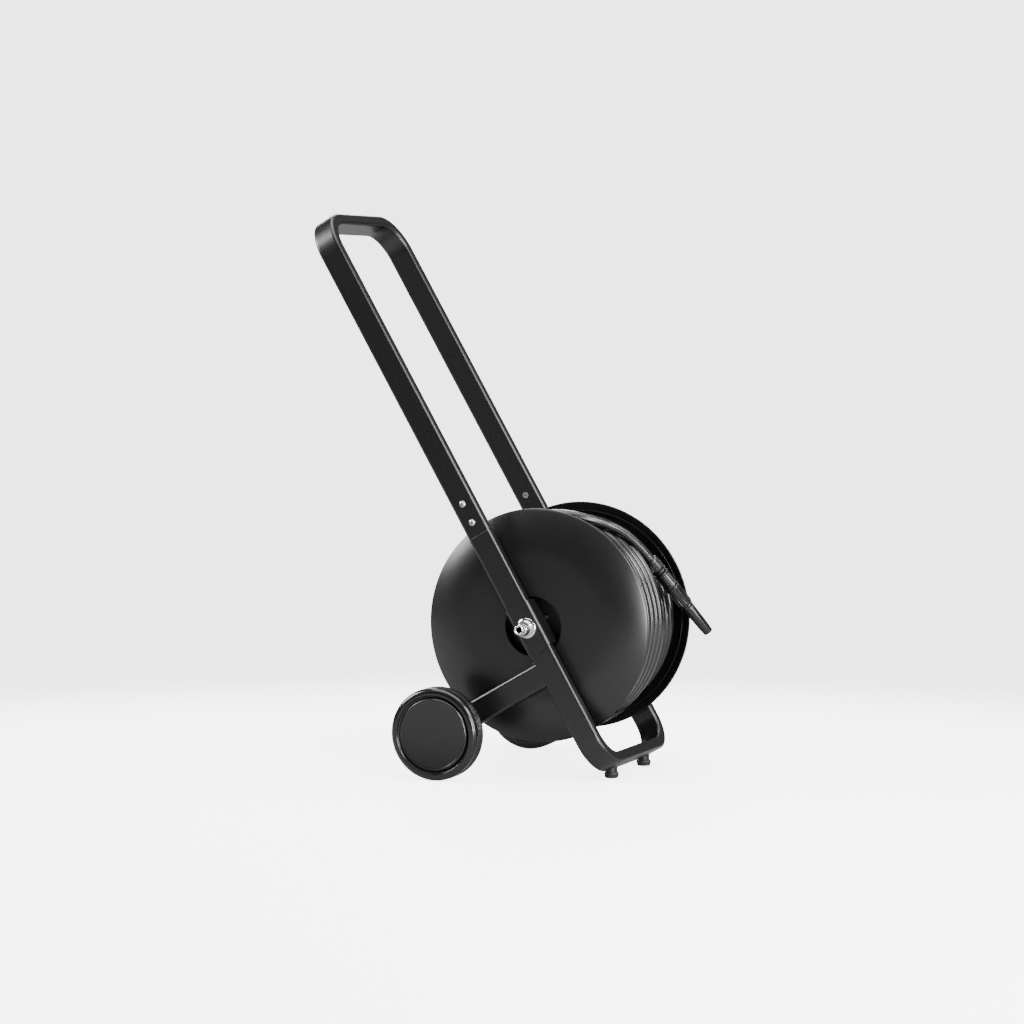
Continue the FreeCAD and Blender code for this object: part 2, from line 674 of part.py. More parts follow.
def disc(side):
    """Dished disc: a flat middle, a round dish, and a folded hem on the rim's inner side."""
    hem = 2 * DISC_SHEET
    edge = dish_angle(DISC_R - DISC_SHEET, DISC_SHEET)
    fold = dish_angle(DISC_R - HEM_WIDTH, DISC_SHEET)

    def point(depth, angle):
        r, y = dish_point(depth, angle)
        return V(r, y, 0)

    hole_out = V(DISC_HOLE_R, -FACE_Y, 0)
    hole_in = V(DISC_HOLE_R, -FACE_Y + DISC_SHEET, 0)
    crown = point(DISC_SHEET, edge).add(V(DISC_SHEET * math.cos(edge), DISC_SHEET * math.sin(edge), 0))
    edges = [
        Part.LineSegment(hole_out, point(0, 0)),
        Part.Arc(point(0, 0), point(0, edge / 2), point(0, edge)),
        Part.Arc(point(0, edge), crown, point(hem, edge)),
        Part.Arc(point(hem, edge), point(hem, (edge + fold) / 2), point(hem, fold)),
        Part.LineSegment(point(hem, fold), point(DISC_SHEET, fold)),
        Part.Arc(point(DISC_SHEET, fold), point(DISC_SHEET, fold / 2), point(DISC_SHEET, 0)),
        Part.LineSegment(point(DISC_SHEET, 0), hole_in),
        Part.LineSegment(hole_in, hole_out),
    ]
    face = Part.Face(Part.Wire([e.toShape() for e in edges]))
    shape = face.revolve(V(0, 0, 0), V(0, 1, 0), 360)
    return at_hub(shape if side < 0 else mirrored(shape))


def ring_hole_r():
    return DISC_HOLE_R + 4


def cup_screw_circle():
    return (ring_hole_r() + CUP_FLANGE_R) / 2


def circle_places(r, count):
    """Places (x, z) spread round a circle about the drum's axis."""
    turns = [2 * math.pi * (i + 0.5) / count for i in range(count)]
    return [(r * math.cos(a), r * math.sin(a)) for a in turns]


def core_ring(side):
    """Ring welded inside each disc's flat middle, with a lip inside the core."""
    y0 = -FACE_Y + DISC_SHEET
    y1 = y0 + RING_SHEET
    y2 = y1 + RING_SHEET
    lip_r = CORE_R - CORE_SHEET - FIT
    step_r = DISC_FLAT_R - 2
    outline = [(ring_hole_r(), y0), (step_r, y0), (step_r, y1), (lip_r, y1), (lip_r, y1 + LIP_W),
               (lip_r - RING_SHEET, y1 + LIP_W), (lip_r - RING_SHEET, y2), (step_r - RING_SHEET, y2),
               (step_r - RING_SHEET, y1), (ring_hole_r(), y1)]
    shape = turned(outline)
    for x, z in circle_places(cup_screw_circle(), 6):
        shape = shape.cut(rod(DRUM_SCREW_R + SLIP, y0 - 1, y1 + 1, x, z))
    return at_hub(shape if side < 0 else mirrored(shape))


def drum_core():
    """The cylinder that the hose is wound on, with a hole for the hose outlet."""
    end = -dish_point(DISC_SHEET, dish_angle(CORE_R, DISC_SHEET))[1] - FIT
    shape = tube(CORE_R, CORE_R - CORE_SHEET, -end, end)
    hole = Part.makeCylinder(PIPE_R + SLIP, CORE_R, V(CORE_R / 2, OUTLET_Y, 0), V(1, 0, 0))
    return at_hub(shape.cut(hole))


def hub_screw_circle():
    return (CENTRE_TUBE_R + HUB_FLANGE_R) / 2


def hub_cup(side):
    """Pressed cup inside each disc's opening: its flange on the ring, its floor set back."""
    y0 = -FACE_Y + DISC_SHEET + RING_SHEET
    wall_r = DISC_HOLE_R + CUP_GAP
    outline = [(BUSH_R + SLIP, -CUP_Y), (wall_r, -CUP_Y), (wall_r, y0), (CUP_FLANGE_R, y0),
               (CUP_FLANGE_R, y0 + CUP_SHEET), (wall_r + CUP_SHEET, y0 + CUP_SHEET),
               (wall_r + CUP_SHEET, -CUP_Y + CUP_SHEET), (BUSH_R + SLIP, -CUP_Y + CUP_SHEET)]
    shape = turned(outline)
    for x, z in circle_places(cup_screw_circle(), 6):
        shape = shape.cut(rod(DRUM_SCREW_R + SLIP, y0 - 1, y0 + CUP_SHEET + 1, x, z))
    for x, z in circle_places(hub_screw_circle(), 4):
        shape = shape.cut(rod(DRUM_SCREW_R + SLIP, -CUP_Y - 1, -CUP_Y + CUP_SHEET + 1, x, z))
    return at_hub(shape if side < 0 else mirrored(shape))


def cup_screws():
    """Screws that hold the cups on the rings, with their heads inside the drum."""
    ring_y = -FACE_Y + DISC_SHEET
    seat = ring_y + RING_SHEET + CUP_SHEET
    shapes = []
    for x, z in circle_places(cup_screw_circle(), 6):
        head = rod(DRUM_SCREW_HEAD_R, seat, seat + DRUM_SCREW_HEAD_H, x, z)
        screw = head.fuse(rod(DRUM_SCREW_R, ring_y + FIT, seat, x, z)).removeSplitter()
        shapes.append(at_hub(screw))
        shapes.append(at_hub(mirrored(screw)))
    return shapes


def outwards(r, x0, x1):
    """A round bar from the drum's axis towards the hose outlet."""
    return Part.makeCylinder(r, x1 - x0, V(x0, OUTLET_Y, 0), V(1, 0, 0))


def centre_tube():
    """Tube through the drum: it seals on the spindle and leads the water to the outlet."""
    end = CUP_Y - CUP_SHEET
    chamber = spindle_end() + CHAMBER_L
    flanges = [rod(HUB_FLANGE_R, -end, -end + HUB_FLANGE_T), rod(HUB_FLANGE_R, end - HUB_FLANGE_T, end)]
    boss_end = CENTRE_TUBE_R + PIPE_BOSS_L
    boss = outwards(PIPE_R + PIPE_WALL, 0, boss_end)
    shape = rod(CENTRE_TUBE_R, -end, end).multiFuse(flanges + [boss])
    hollow = [rod(SPINDLE_R + SLIP, -end - 1, chamber), rod(CHANNEL_R, chamber - 1, OUTLET_Y + CHANNEL_R),
              outwards(CHANNEL_R, 0, boss_end + 1),
              outwards(PIPE_R + SLIP, CENTRE_TUBE_R + PIPE_SEAT, boss_end + 1)]
    for x, z in circle_places(hub_screw_circle(), 4):
        hollow.append(rod(DRUM_SCREW_R + SLIP, -end - 1, -end + HUB_FLANGE_T + 1, x, z))
        hollow.append(rod(DRUM_SCREW_R + SLIP, end - HUB_FLANGE_T - 1, end + 1, x, z))
    return at_hub(cut_all(shape.removeSplitter(), hollow))


def hub_screws():
    """Screws through each cup's floor into the centre tube's flanges."""
    shapes = []
    for side in (-1, 1):
        seat = -CUP_Y if side < 0 else -CUP_Y - HUB_FLANGE_T
        for x, z in circle_places(hub_screw_circle(), 4):
            head = rod(DRUM_SCREW_HEAD_R - 1, seat - DRUM_SCREW_HEAD_H, seat, x, z)
            shank = rod(DRUM_SCREW_R, seat, -CUP_Y + CUP_SHEET + HUB_FLANGE_T, x, z)
            screw = head.fuse(shank).removeSplitter()
            shapes.append(at_hub(screw if side < 0 else mirrored(screw)))
    return shapes


def spindle_bush():
    """Flanged bush in the near cup's floor."""
    shape = tube(BUSH_R, SPINDLE_R + SLIP, -CUP_Y, -CUP_Y + CUP_SHEET)
    flange = tube(BUSH_FLANGE_R, SPINDLE_R + SLIP, -CUP_Y - BUSH_FLANGE_T, -CUP_Y)
    return at_hub(shape.fuse(flange).removeSplitter())


def pipe_end():
    """Where the feed pipe ends and the hose outlet's stem begins."""
    return CORE_R - CORE_SHEET - OUTLET_BACK


def feed_pipe():
    """Straight pipe from the centre tube to the hose outlet."""
    start = CENTRE_TUBE_R + PIPE_SEAT + 0.5
    return at_hub(outwards(PIPE_R, start, pipe_end()).cut(outwards(CHANNEL_R, start - 1, pipe_end() + 1)))


def hose_outlet():
    """Elbow through the core, with a barb along the first turn."""
    start = pipe_end() + FIT
    turn_at = V(INNER_LAYER_R, OUTLET_Y, 0)
    stem = outwards(PIPE_R, start, INNER_LAYER_R)
    knee = Part.makeSphere(PIPE_R + 1, turn_at)
    barb = Part.makeCylinder(BARB_R, BARB_L, turn_at, V(0, 0, -1))
    bores = [outwards(CHANNEL_R, start - 1, INNER_LAYER_R),
             Part.makeCylinder(CHANNEL_R, BARB_L + 1, turn_at, V(0, 0, -1))]
    return at_hub(cut_all(stem.multiFuse([knee, barb]).removeSplitter(), bores))


def outlet_nut():
    """Nut that joins pipe and outlet and clamps the outlet in the core."""
    x0 = pipe_end() - OUTLET_NUT_L
    nut_corner = NUT_FLATS / math.sqrt(3)
    x1 = math.sqrt((CORE_R - CORE_SHEET) ** 2 - nut_corner ** 2) - FIT
    nut = hexagon(NUT_FLATS, 0, x1 - x0)
    nut.rotate(V(0, 0, 0), V(0, 0, 1), -90)
    nut.translate(V(x0, OUTLET_Y, 0))
    return at_hub(nut.cut(outwards(PIPE_R + SLIP, x0 - 1, x1 + 1)))


# ---- crank ----
def arm_place():
    """The crank arm's inner side, as a distance from the cart's middle."""
    return WEB_OUT + BUSH_FLANGE_T + 1


def knob_place():
    a = math.radians(CRANK_TURN)
    return CRANK_ARM * math.cos(a), CRANK_ARM * math.sin(a)


def drive_shaft():
    """Shaft fixed on the far cup, turning in the frame's bush, that carries the crank."""
    flange = rod(HUB_FLANGE_R, CUP_Y, CUP_Y + HUB_FLANGE_T)
    shaft = rod(SPINDLE_R, CUP_Y, arm_place() + ARM_T)
    tail = rod(BUSH_R, CUP_Y - CUP_SHEET, CUP_Y)
    shape = flange.multiFuse([shaft, tail]).removeSplitter()
    for x, z in circle_places(hub_screw_circle(), 4):
        shape = shape.cut(rod(DRUM_SCREW_R + SLIP, CUP_Y - 1, CUP_Y + HUB_FLANGE_T + 1, x, z))
    return at_hub(shape.cut(rod(DRUM_SCREW_R + SLIP, arm_place() - CRANK_BORE, arm_place() + ARM_T + 1)))


def crank_arm():
    """Flat bar with round ends, from the shaft to the knob."""
    y = arm_place()
    bar = Part.makeBox(CRANK_ARM, ARM_T, ARM_WIDE, V(0, y, -ARM_WIDE / 2))
    ends = [rod(ARM_WIDE / 2, y, y + ARM_T), rod(ARM_WIDE / 2, y, y + ARM_T, CRANK_ARM)]
    over = y + ARM_T + 1
    holes = [rod(SPINDLE_R + SLIP, y - 1, over), rod(KNOB_PIN_R + SLIP, y - 1, over, CRANK_ARM)]
    shape = cut_all(bar.multiFuse(ends).removeSplitter(), holes)
    shape.rotate(V(0, 0, 0), V(0, 1, 0), -CRANK_TURN)
    return at_hub(shape)


def crank_bolt():
    """Bolt with a wide head that holds the arm on the shaft."""
    seat = arm_place() + ARM_T
    under = seat + CRANK_WASHER_T
    head = hexagon(CRANK_BOLT_FLATS, under, under + CRANK_HEAD_T)
    washer = rod(SPINDLE_R + 4, seat, under)
    shank = rod(DRUM_SCREW_R, seat - CRANK_BOLT_L, seat)
    return at_hub(head.multiFuse([washer, shank]).removeSplitter())


def knob_pin():
    """Shouldered pin riveted in the arm, on which the knob turns."""
    x, z = knob_place()
    y = arm_place()
    tip = y + ARM_T + 2 * FIT + KNOB_L
    shape = rod(KNOB_PIN_R, y, tip, x, z)
    rivet = rod(KNOB_PIN_R + RIVET_OVER, y - RIVET_T, y, x, z)
    head = rod(KNOB_PIN_R + PIN_HEAD, tip - PIN_HEAD_T, tip, x, z)
    return at_hub(shape.multiFuse([rivet, head]).removeSplitter())


def crank_knob():
    """Round knob, free to turn on its pin."""
    x, z = knob_place()
    y0 = arm_place() + ARM_T + FIT
    y1 = y0 + KNOB_L
    pin = KNOB_PIN_R + SLIP
    pocket = KNOB_PIN_R + PIN_HEAD + 2 * FIT
    outline = [(pin, y0), (KNOB_R - 3, y0), (KNOB_R - 1, y0 + 3), (KNOB_R - 2, y0 + KNOB_L * 0.45),
               (KNOB_R, y1 - 8), (KNOB_R - 1.5, y1 - 2), (KNOB_R - 4, y1), (pocket, y1),
               (pocket, y1 - PIN_HEAD_T), (pin, y1 - PIN_HEAD_T)]
    return at_hub(placed(turned(outline), x, 0, z))


# ---- hose ----
def hose_winding():
    """Outer shape of the whole winding: two full layers and a third near the inlet side."""
    inner = CORE_R + FIT
    second = OUTER_LAYER_R - HOSE_D / 2
    outer = OUTER_LAYER_R + HOSE_D / 2
    return at_hub(turned([(inner, -COIL_HALF), (outer, -COIL_HALF), (outer, OUTER_LAYER_END),
                          (second, OUTER_LAYER_END), (second, COIL_HALF), (inner, COIL_HALF)]))


def rounded_path(points):
    """Straight runs joined by tangent arcs, each as large as its two runs allow."""
    at = [V(*p) for p in points]
    edges = []
    last = at[0]
    for before, corner, after in zip(at, at[1:], at[2:]):
        back = before.sub(corner)
        ahead = after.sub(corner)
        turn = math.pi - back.getAngle(ahead)
        trim = 0.45 * min(back.Length, ahead.Length)
        radius = trim / math.tan(turn / 2)
        print(f"  hose bend: turn {math.degrees(turn):5.1f} deg, radius {radius:6.1f}")
        start = corner.add(V(back).normalize().multiply(trim))
        end = corner.add(V(ahead).normalize().multiply(trim))
        middle_way = V(back).normalize().add(V(ahead).normalize()).normalize()
        middle = corner.add(middle_way.multiply(radius / math.cos(turn / 2) - radius))
        edges.append(Part.LineSegment(last, start).toShape())
        edges.append(Part.Arc(start, middle, end).toShape())
        last = end
    edges.append(Part.LineSegment(last, at[-1]).toShape())
    return Part.Wire(edges)


def hose_end():
    """The hose from its last turn to the coupling."""
    path = rounded_path(HOSE_END_POINTS)
    first = V(*HOSE_END_POINTS[0])
    heading = V(*HOSE_END_POINTS[1]).sub(first)
    ring = Part.Wire(Part.makeCircle(HOSE_D / 2, first, heading))
    shape = path.makePipeShell([ring], True, True)
    filled = shape.Volume / (math.pi * HOSE_D ** 2 / 4 * path.Length)
    print(f"  hose end: length {path.Length:.1f}, volume {filled:.4f} of section times length")
    return at_hub(shape)


# ---- coupling and nozzle ----
def along_nozzle(shape):
    """From the Y axis to the line of the coupling and nozzle."""
    way = V(*NOZZLE_END).sub(V(*NOZZLE_START))
    turned_shape = shape.copy()
    turned_shape.Placement = FreeCAD.Placement(V(*NOZZLE_START), FreeCAD.Rotation(V(0, 1, 0), way))
    return at_hub(turned_shape)


def coupling_places():
    """Where nut, body, collar and barrel begin, from the end of the hose."""
    body = COUPLING_NUT[1]
    collar = body + COUPLING_BODY[1]
    barrel = collar + NOZZLE_COLLAR[1]
    return body, collar, barrel


def coupling_nut():
    body = coupling_places()[0]
    r = COUPLING_NUT[0]
    shape = turned([(BARB_R + SLIP, 0), (r - 1, 0), (r, 1), (r, body - 2.5), (r - 1.5, body - 2),
                    (r - 1.5, body), (BARB_R + SLIP, body)])
    return along_nozzle(shape)


def coupling_body():
    """Barbed stem, flange and the neck that the release sleeve slides on."""
    body, collar, _ = coupling_places()
    r = COUPLING_BODY[0]
    neck = r - NECK_STEP
    flange = body + COUPLING_FLANGE
    shape = turned([(STEM_BORE, 1), (BARB_R, 1), (BARB_R, body), (r, body), (r, flange), (neck, flange),
                    (neck, collar), (STEM_BORE, collar)])
    return along_nozzle(shape)


def coupling_sleeve():
    """Release sleeve: it slides back towards the hose to let the nozzle go."""
    body, collar, _ = coupling_places()
    r = COUPLING_BODY[0]
    neck = r - NECK_STEP + SLIP
    start = body + COUPLING_FLANGE + SLEEVE_TRAVEL + FIT
    end = collar - FIT
    shape = turned([(neck, start), (r - 0.8, start), (r, start + 0.8), (r, end - 4), (r + 0.5, end - 3),
                    (r + 0.5, end), (neck, end)])
    return along_nozzle(shape)


def nozzle_collar():
    """Body of the nozzle, with the socket that the barrel turns in."""
    _, collar, barrel = coupling_places()
    r = NOZZLE_COLLAR[0]
    socket = NOZZLE_TIP_R + SLIP
    floor = barrel - SOCKET_L
    shape = turned([(STEM_BORE, collar), (r, collar), (r, collar + 4), (r - 0.8, collar + 5),
                    (r - 1, barrel - 1), (r - 2, barrel), (socket, barrel), (socket, floor),
                    (STEM_BORE, floor)])
    return along_nozzle(shape)


def nozzle_barrel():
    """Tapered barrel: turning it opens and shuts the jet."""
    _, _, barrel = coupling_places()
    tip = barrel + NOZZLE_BARREL[1]
    r = NOZZLE_BARREL[0]
    root = barrel - BARREL_ROOT
    shape = turned([(JET_R, root), (NOZZLE_TIP_R, root), (NOZZLE_TIP_R, barrel + FIT), (r, barrel + FIT),
                    (NOZZLE_TIP_R, tip - 0.6), (NOZZLE_TIP_R - 0.6, tip), (JET_R, tip)])
    return along_nozzle(shape)


# ---- all nodes ----
def build():
    os.makedirs("parts", exist_ok=True)
    save("handle_loop", handle_loop())
    save("base_loop", base_loop())
    save("splice_inserts", splice_inserts())
    save("handle_screws", handle_screws())
    save("sleeve_nuts", sleeve_nuts())
    save("weld_beads", weld_beads())
    save("leg_caps", leg_caps())
    save("foot_bosses", foot_bosses())
    save("foot_screws", foot_screws())
    save("inlet_nipple", nipple())
    save("water_spindle", water_spindle())
    save("spindle_seals", spindle_seals())
    save("spindle_nut", spindle_nut())
    save("shaft_bush", shaft_bush())
    save("stub_axles", stub_axles())
    save("axle_spacers", axle_spacers())
    save("axle_washers", axle_washers())
    save("axle_clips", axle_clips())
    for name, side in (("near", -1), ("far", 1)):
        save("hub_bracket_" + name, hub_bracket(side))
        save("leg_" + name, leg(side))
        save("foot_" + name, foot_shape(side))
        save("wheel_tyre_" + name, wheel_tyre(side))
        save("wheel_rim_" + name, wheel_rim(side))
        save("wheel_cap_" + name, wheel_cap(side))
        save("wheel_bush_" + name, wheel_bush(side))
        save("disc_" + name, disc(side))
        save("core_ring_" + name, core_ring(side))
        save("hub_cup_" + name, hub_cup(side))
    save("drum_core", drum_core())
    save("cup_screws", cup_screws())
    save("hub_screws", hub_screws())
    save("centre_tube", centre_tube())
    save("spindle_bush", spindle_bush())
    save("feed_pipe", feed_pipe())
    save("hose_outlet", hose_outlet())
    save("outlet_nut", outlet_nut())
    save("drive_shaft", drive_shaft())
    save("crank_arm", crank_arm())
    save("crank_bolt", crank_bolt())
    save("knob_pin", knob_pin())
    save("crank_knob", crank_knob())
    save("hose_winding", hose_winding())
    save("hose_end", hose_end())
    save("coupling_nut", coupling_nut())
    save("coupling_body", coupling_body())
    save("coupling_sleeve", coupling_sleeve())
    save("nozzle_collar", nozzle_collar())
    save("nozzle_barrel", nozzle_barrel())


build()
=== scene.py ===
# %% [markdown]
# # Garden hose reel cart
# A leaning frame of flat steel tube carries a drum of hose between two dished discs.
# The working parts come from a finished model, which stays where it is. This lesson adds the looks:
# the hose, the turned and pressed pieces that are seen close up, and a finish for every piece.

# %% The finished model and its places
import json
import math

import bmesh
import bpy
from mathutils import Matrix, Vector

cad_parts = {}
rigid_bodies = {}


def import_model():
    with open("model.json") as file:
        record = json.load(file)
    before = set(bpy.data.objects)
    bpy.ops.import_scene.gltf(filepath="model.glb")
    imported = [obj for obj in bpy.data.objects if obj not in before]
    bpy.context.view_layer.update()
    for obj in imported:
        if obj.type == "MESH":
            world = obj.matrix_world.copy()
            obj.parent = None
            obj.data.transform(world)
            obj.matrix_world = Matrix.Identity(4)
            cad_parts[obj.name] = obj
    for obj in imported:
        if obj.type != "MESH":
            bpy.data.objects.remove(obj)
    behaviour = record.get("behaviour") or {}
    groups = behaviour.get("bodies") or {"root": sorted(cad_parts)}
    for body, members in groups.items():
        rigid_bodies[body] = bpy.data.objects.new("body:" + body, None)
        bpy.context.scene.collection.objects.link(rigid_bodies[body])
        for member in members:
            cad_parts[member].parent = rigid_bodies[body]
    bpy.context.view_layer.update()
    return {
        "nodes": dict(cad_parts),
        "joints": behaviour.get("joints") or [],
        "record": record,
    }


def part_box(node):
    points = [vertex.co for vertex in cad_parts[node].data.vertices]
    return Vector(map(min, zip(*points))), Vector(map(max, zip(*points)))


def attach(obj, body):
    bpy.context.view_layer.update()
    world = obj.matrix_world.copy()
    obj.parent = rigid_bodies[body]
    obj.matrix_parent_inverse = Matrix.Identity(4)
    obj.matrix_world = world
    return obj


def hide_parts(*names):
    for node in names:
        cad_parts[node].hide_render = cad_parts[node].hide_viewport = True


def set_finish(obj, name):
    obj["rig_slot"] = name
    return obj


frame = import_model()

NODES = frame["nodes"]
JOINTS = {joint["name"]: joint for joint in frame["joints"]}
HUB = Vector(JOINTS["drum_spin"]["pos_m"])
SIDES = {"near": -1, "far": 1}
print("nodes:", len(NODES), "drum axis at", tuple(round(v, 4) for v in HUB))

# %% [markdown]
# ## Camera
# The cart is seen from a little right of its inlet side and just above its middle, from far away
# with a long lens, so the two discs look almost the same size. The camera is placed by its bearing,
# height angle and distance from one aiming point, which is easier to change than raw coordinates.

# %% Camera
AIM = Vector((0.100, -0.2004, 0.4355))
BEARING = math.radians(22.61)
HEIGHT_ANGLE = math.radians(3.687)
DISTANCE = 5.0
LENS_MM = 110.8


def direction(bearing, rise):
    """The way to a bearing, counted from straight in front of the inlet side, and a rise, in radians."""
    level = math.cos(rise)
    return Vector((math.sin(bearing) * level, -math.cos(bearing) * level, math.sin(rise)))


def add_camera():
    """A camera that looks at the aiming point from its bearing and height angle."""
    away = direction(BEARING, HEIGHT_ANGLE)
    data = bpy.data.cameras.new("camera")
    data.lens = LENS_MM
    camera = bpy.data.objects.new("camera", data)
    camera.location = AIM + away * DISTANCE
    camera.rotation_euler = (-away).to_track_quat("-Z", "Y").to_euler()
    bpy.context.scene.collection.objects.link(camera)
    bpy.context.scene.camera = camera
    return camera


print("camera at", tuple(round(v, 3) for v in add_camera().location))

# %% [markdown]
# ## Hose
# Twenty-five metres of rubber hose leave the barb inside the drum, fill two layers from side to side,
# cross back behind the drum and lay five more turns beside the inlet side's disc. The free end lifts
# over the rim to the coupling. A hose is one smooth line, so it is one spline with a round section.
# A loop gives the turns: a turn keeps to its row over the front and steps to the next row at the back.
# A spline of order 3 runs inside its points, so the loop's points lie outside the turns by
# one over the cosine of half a step.

# %% Hose: sizes and rows
HOSE_D = 0.017
HOSE_PITCH = 0.0193
ROWS = 10
FIRST_ROW_Y = HOSE_PITCH * (ROWS - 1) / 2
LAYERS = (0.141, 0.158, 0.175)
OUTLET_Y = 0.078
POINTS_PER_TURN = 16
HOSE_END_POINTS = (
    (-0.0700, -0.0905, 0.1600),
    (-0.0120, -0.0905, 0.1790),
    (0.0446, -0.0830, 0.1799),
    (0.0946, -0.0570, 0.1673),
    (0.1277, -0.0121, 0.1432),
    (0.1517, 0.0120, 0.1038),
)


def row_y(row):
    return FIRST_ROW_Y - row * HOSE_PITCH


def ease(value, start, stop):
    """0 before start, 1 after stop, and a smooth rise between them."""
    share = min(max((value - start) / (stop - start), 0.0), 1.0)
    return share * share * (3 - 2 * share)


# %% Hose: where the turns step
# Turns are counted from the barb. Each move is (start, stop, what changes, by how much).
STEP_FROM, STEP_TO = 1 / 3, 2 / 3
BARB_TO_ROW = (0.03, 0.25)
RISE_TO_LAST_LAYER = (19.30, 19.42)
CROSSING_BACK = (19.38, 19.74)
ROW_AFTER_CROSSING = 5
LAST_STEP = (23.82, 23.98)
MOVES = [(*BARB_TO_ROW, "y", FIRST_ROW_Y - OUTLET_Y)]
for turn in range(ROWS - 1):
    MOVES.append((turn + STEP_FROM, turn + STEP_TO, "y", -HOSE_PITCH))
MOVES.append((ROWS - 1 + STEP_FROM, ROWS - 1 + STEP_TO, "r", LAYERS[1] - LAYERS[0]))
for turn in range(ROWS, 2 * ROWS - 1):
    MOVES.append((turn + STEP_FROM, turn + STEP_TO, "y", HOSE_PITCH))
MOVES.append((*RISE_TO_LAST_LAYER, "r", LAYERS[2] - LAYERS[1]))
MOVES.append((*CROSSING_BACK, "y", row_y(ROW_AFTER_CROSSING) - row_y(0)))
for turn in range(2 * ROWS, 2 * ROWS + 3):
    MOVES.append((turn + STEP_FROM, turn + STEP_TO, "y", -HOSE_PITCH))
MOVES.append((*LAST_STEP, "y", -HOSE_PITCH))
FIRST_TURN, LAST_TURN = 0.01, 24.64
print("moves along the winding:", len(MOVES))


# %% Hose: the line and its section
def winding_points():
    """Control points of the turns, from the barb to the start of the free end."""
    outside = 1 / math.cos(math.pi / POINTS_PER_TURN)
    count = round((LAST_TURN - FIRST_TURN) * POINTS_PER_TURN)
    points = []
    for i in range(count + 1):
        turn = FIRST_TURN + (LAST_TURN - FIRST_TURN) * i / count
        radius, y = LAYERS[0], OUTLET_Y
        for start, stop, what, change in MOVES:
            moved = change * ease(turn, start, stop)
            radius += moved if what == "r" else 0.0
            y += moved if what == "y" else 0.0
        angle = -2 * math.pi * turn
        reach = radius * (outside if 0 < i < count else 1.0)
        points.append(HUB + Vector((reach * math.cos(angle), y, reach * math.sin(angle))))
    return points


def add_hose():
    data = bpy.data.curves.new("hose", "CURVE")
    data.dimensions = "3D"
    data.bevel_depth = 1.0
    data.bevel_resolution = 7
    data.resolution_u = 4
    data.use_fill_caps = True
    points = winding_points() + [HUB + Vector(p) for p in HOSE_END_POINTS]
    spline = data.splines.new("NURBS")
    spline.points.add(len(points) - 1)
    for control, point in zip(spline.points, points):
        control.co = (*point, 1.0)
        control.radius = HOSE_D / 2
    spline.order_u = 3
    spline.use_endpoint_u = True
    hose = bpy.data.objects.new("hose", data)
    bpy.context.scene.collection.objects.link(hose)
    return hose


hose = add_hose()
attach(hose, "drum")
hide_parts("hose_winding", "hose_end")
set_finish(hose, "hose_rubber")
print("hose control points:", len(hose.data.splines[0].points))

# %% [markdown]
# ## Shapes turned on a lathe
# Many pieces are round: discs, wheels, hub fittings, the coupling. On a lathe such a piece is an
# outline swept round an axis. Here the outline is drawn as points (radius, distance along the axis),
# spun a full turn and merged, and then its sharp rings get a small bevel, because no real edge is
# perfectly sharp and the bevel is what catches the light.

# %% Helpers for turned pieces
SHARP = math.radians(25)


def add_piece(name, bm, body, slot, replaced=(), crease=35):
    """Turns a bmesh into a finished object that rides on a body."""
    bmesh.ops.remove_doubles(bm, verts=bm.verts, dist=1e-6)
    bmesh.ops.recalc_face_normals(bm, faces=bm.faces)
    mesh = bpy.data.meshes.new(name)
    bm.to_mesh(mesh)
    bm.free()
    mesh.polygons.foreach_set("use_smooth", [True] * len(mesh.polygons))
    mesh.set_sharp_from_angle(angle=math.radians(crease))
    piece = bpy.data.objects.new(name, mesh)
    bpy.context.scene.collection.objects.link(piece)
    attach(piece, body)
    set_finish(piece, slot)
    if replaced:
        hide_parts(*replaced)
    print(f"{name}: {len(mesh.polygons)} faces")
    return piece


def soften(bm, width, segments=2, sharp=SHARP):
    """Bevels every edge that is sharper than the given angle."""
    edges = [e for e in bm.edges if len(e.link_faces) == 2 and e.calc_face_angle(0) > sharp]
    bmesh.ops.bevel(bm, geom=edges, offset=width, segments=segments, affect="EDGES", profile=0.5,
                    material=-1, clamp_overlap=True)


def spun(outline, closed=True, steps=96):
    """A closed outline of (radius, height) points, spun round the Z axis."""
    bm = bmesh.new()
    ring = [bm.verts.new((r, 0, z)) for r, z in outline]
    pairs = list(zip(ring, ring[1:]))
    if closed:
        pairs.append((ring[-1], ring[0]))
    edges = [bm.edges.new(pair) for pair in pairs]
    bmesh.ops.spin(bm, geom=ring + edges, cent=(0, 0, 0), axis=(0, 0, 1), angle=2 * math.pi,
                   steps=steps, use_merge=True)
    bmesh.ops.remove_doubles(bm, verts=bm.verts, dist=1e-6)
    bmesh.ops.dissolve_degenerate(bm, edges=bm.edges, dist=1e-7)
    bmesh.ops.recalc_face_normals(bm, faces=bm.faces)
    return bm


def stand(bm, origin, way):
    """Lays the Z axis of a turned piece along a direction from a point."""
    turn = Vector(way).to_track_quat("Z", "Y").to_matrix().to_4x4()
    bmesh.ops.transform(bm, matrix=Matrix.Translation(origin) @ turn, verts=bm.verts)
    return bm


def reach(node, origin, way):
    """A model piece's least and greatest distance along an axis, and its greatest radius about it."""
    way = Vector(way).normalized()
    along, away = [], []
    for vertex in NODES[node].data.vertices:
        offset = vertex.co - origin
        distance = offset.dot(way)
        along.append(distance)
        away.append((offset - way * distance).length)
    return min(along), max(along), max(away)


# %% [markdown]
# ## Dished discs
# Each disc is pressed from thin sheet: flat in the middle, then curving away in one round sweep, with
# the edge folded back inside as a hem. The pressed model is smooth already, so what is added is a finer
# sweep and a small bead along the hem's inner edge, which shows as a thin bright line.

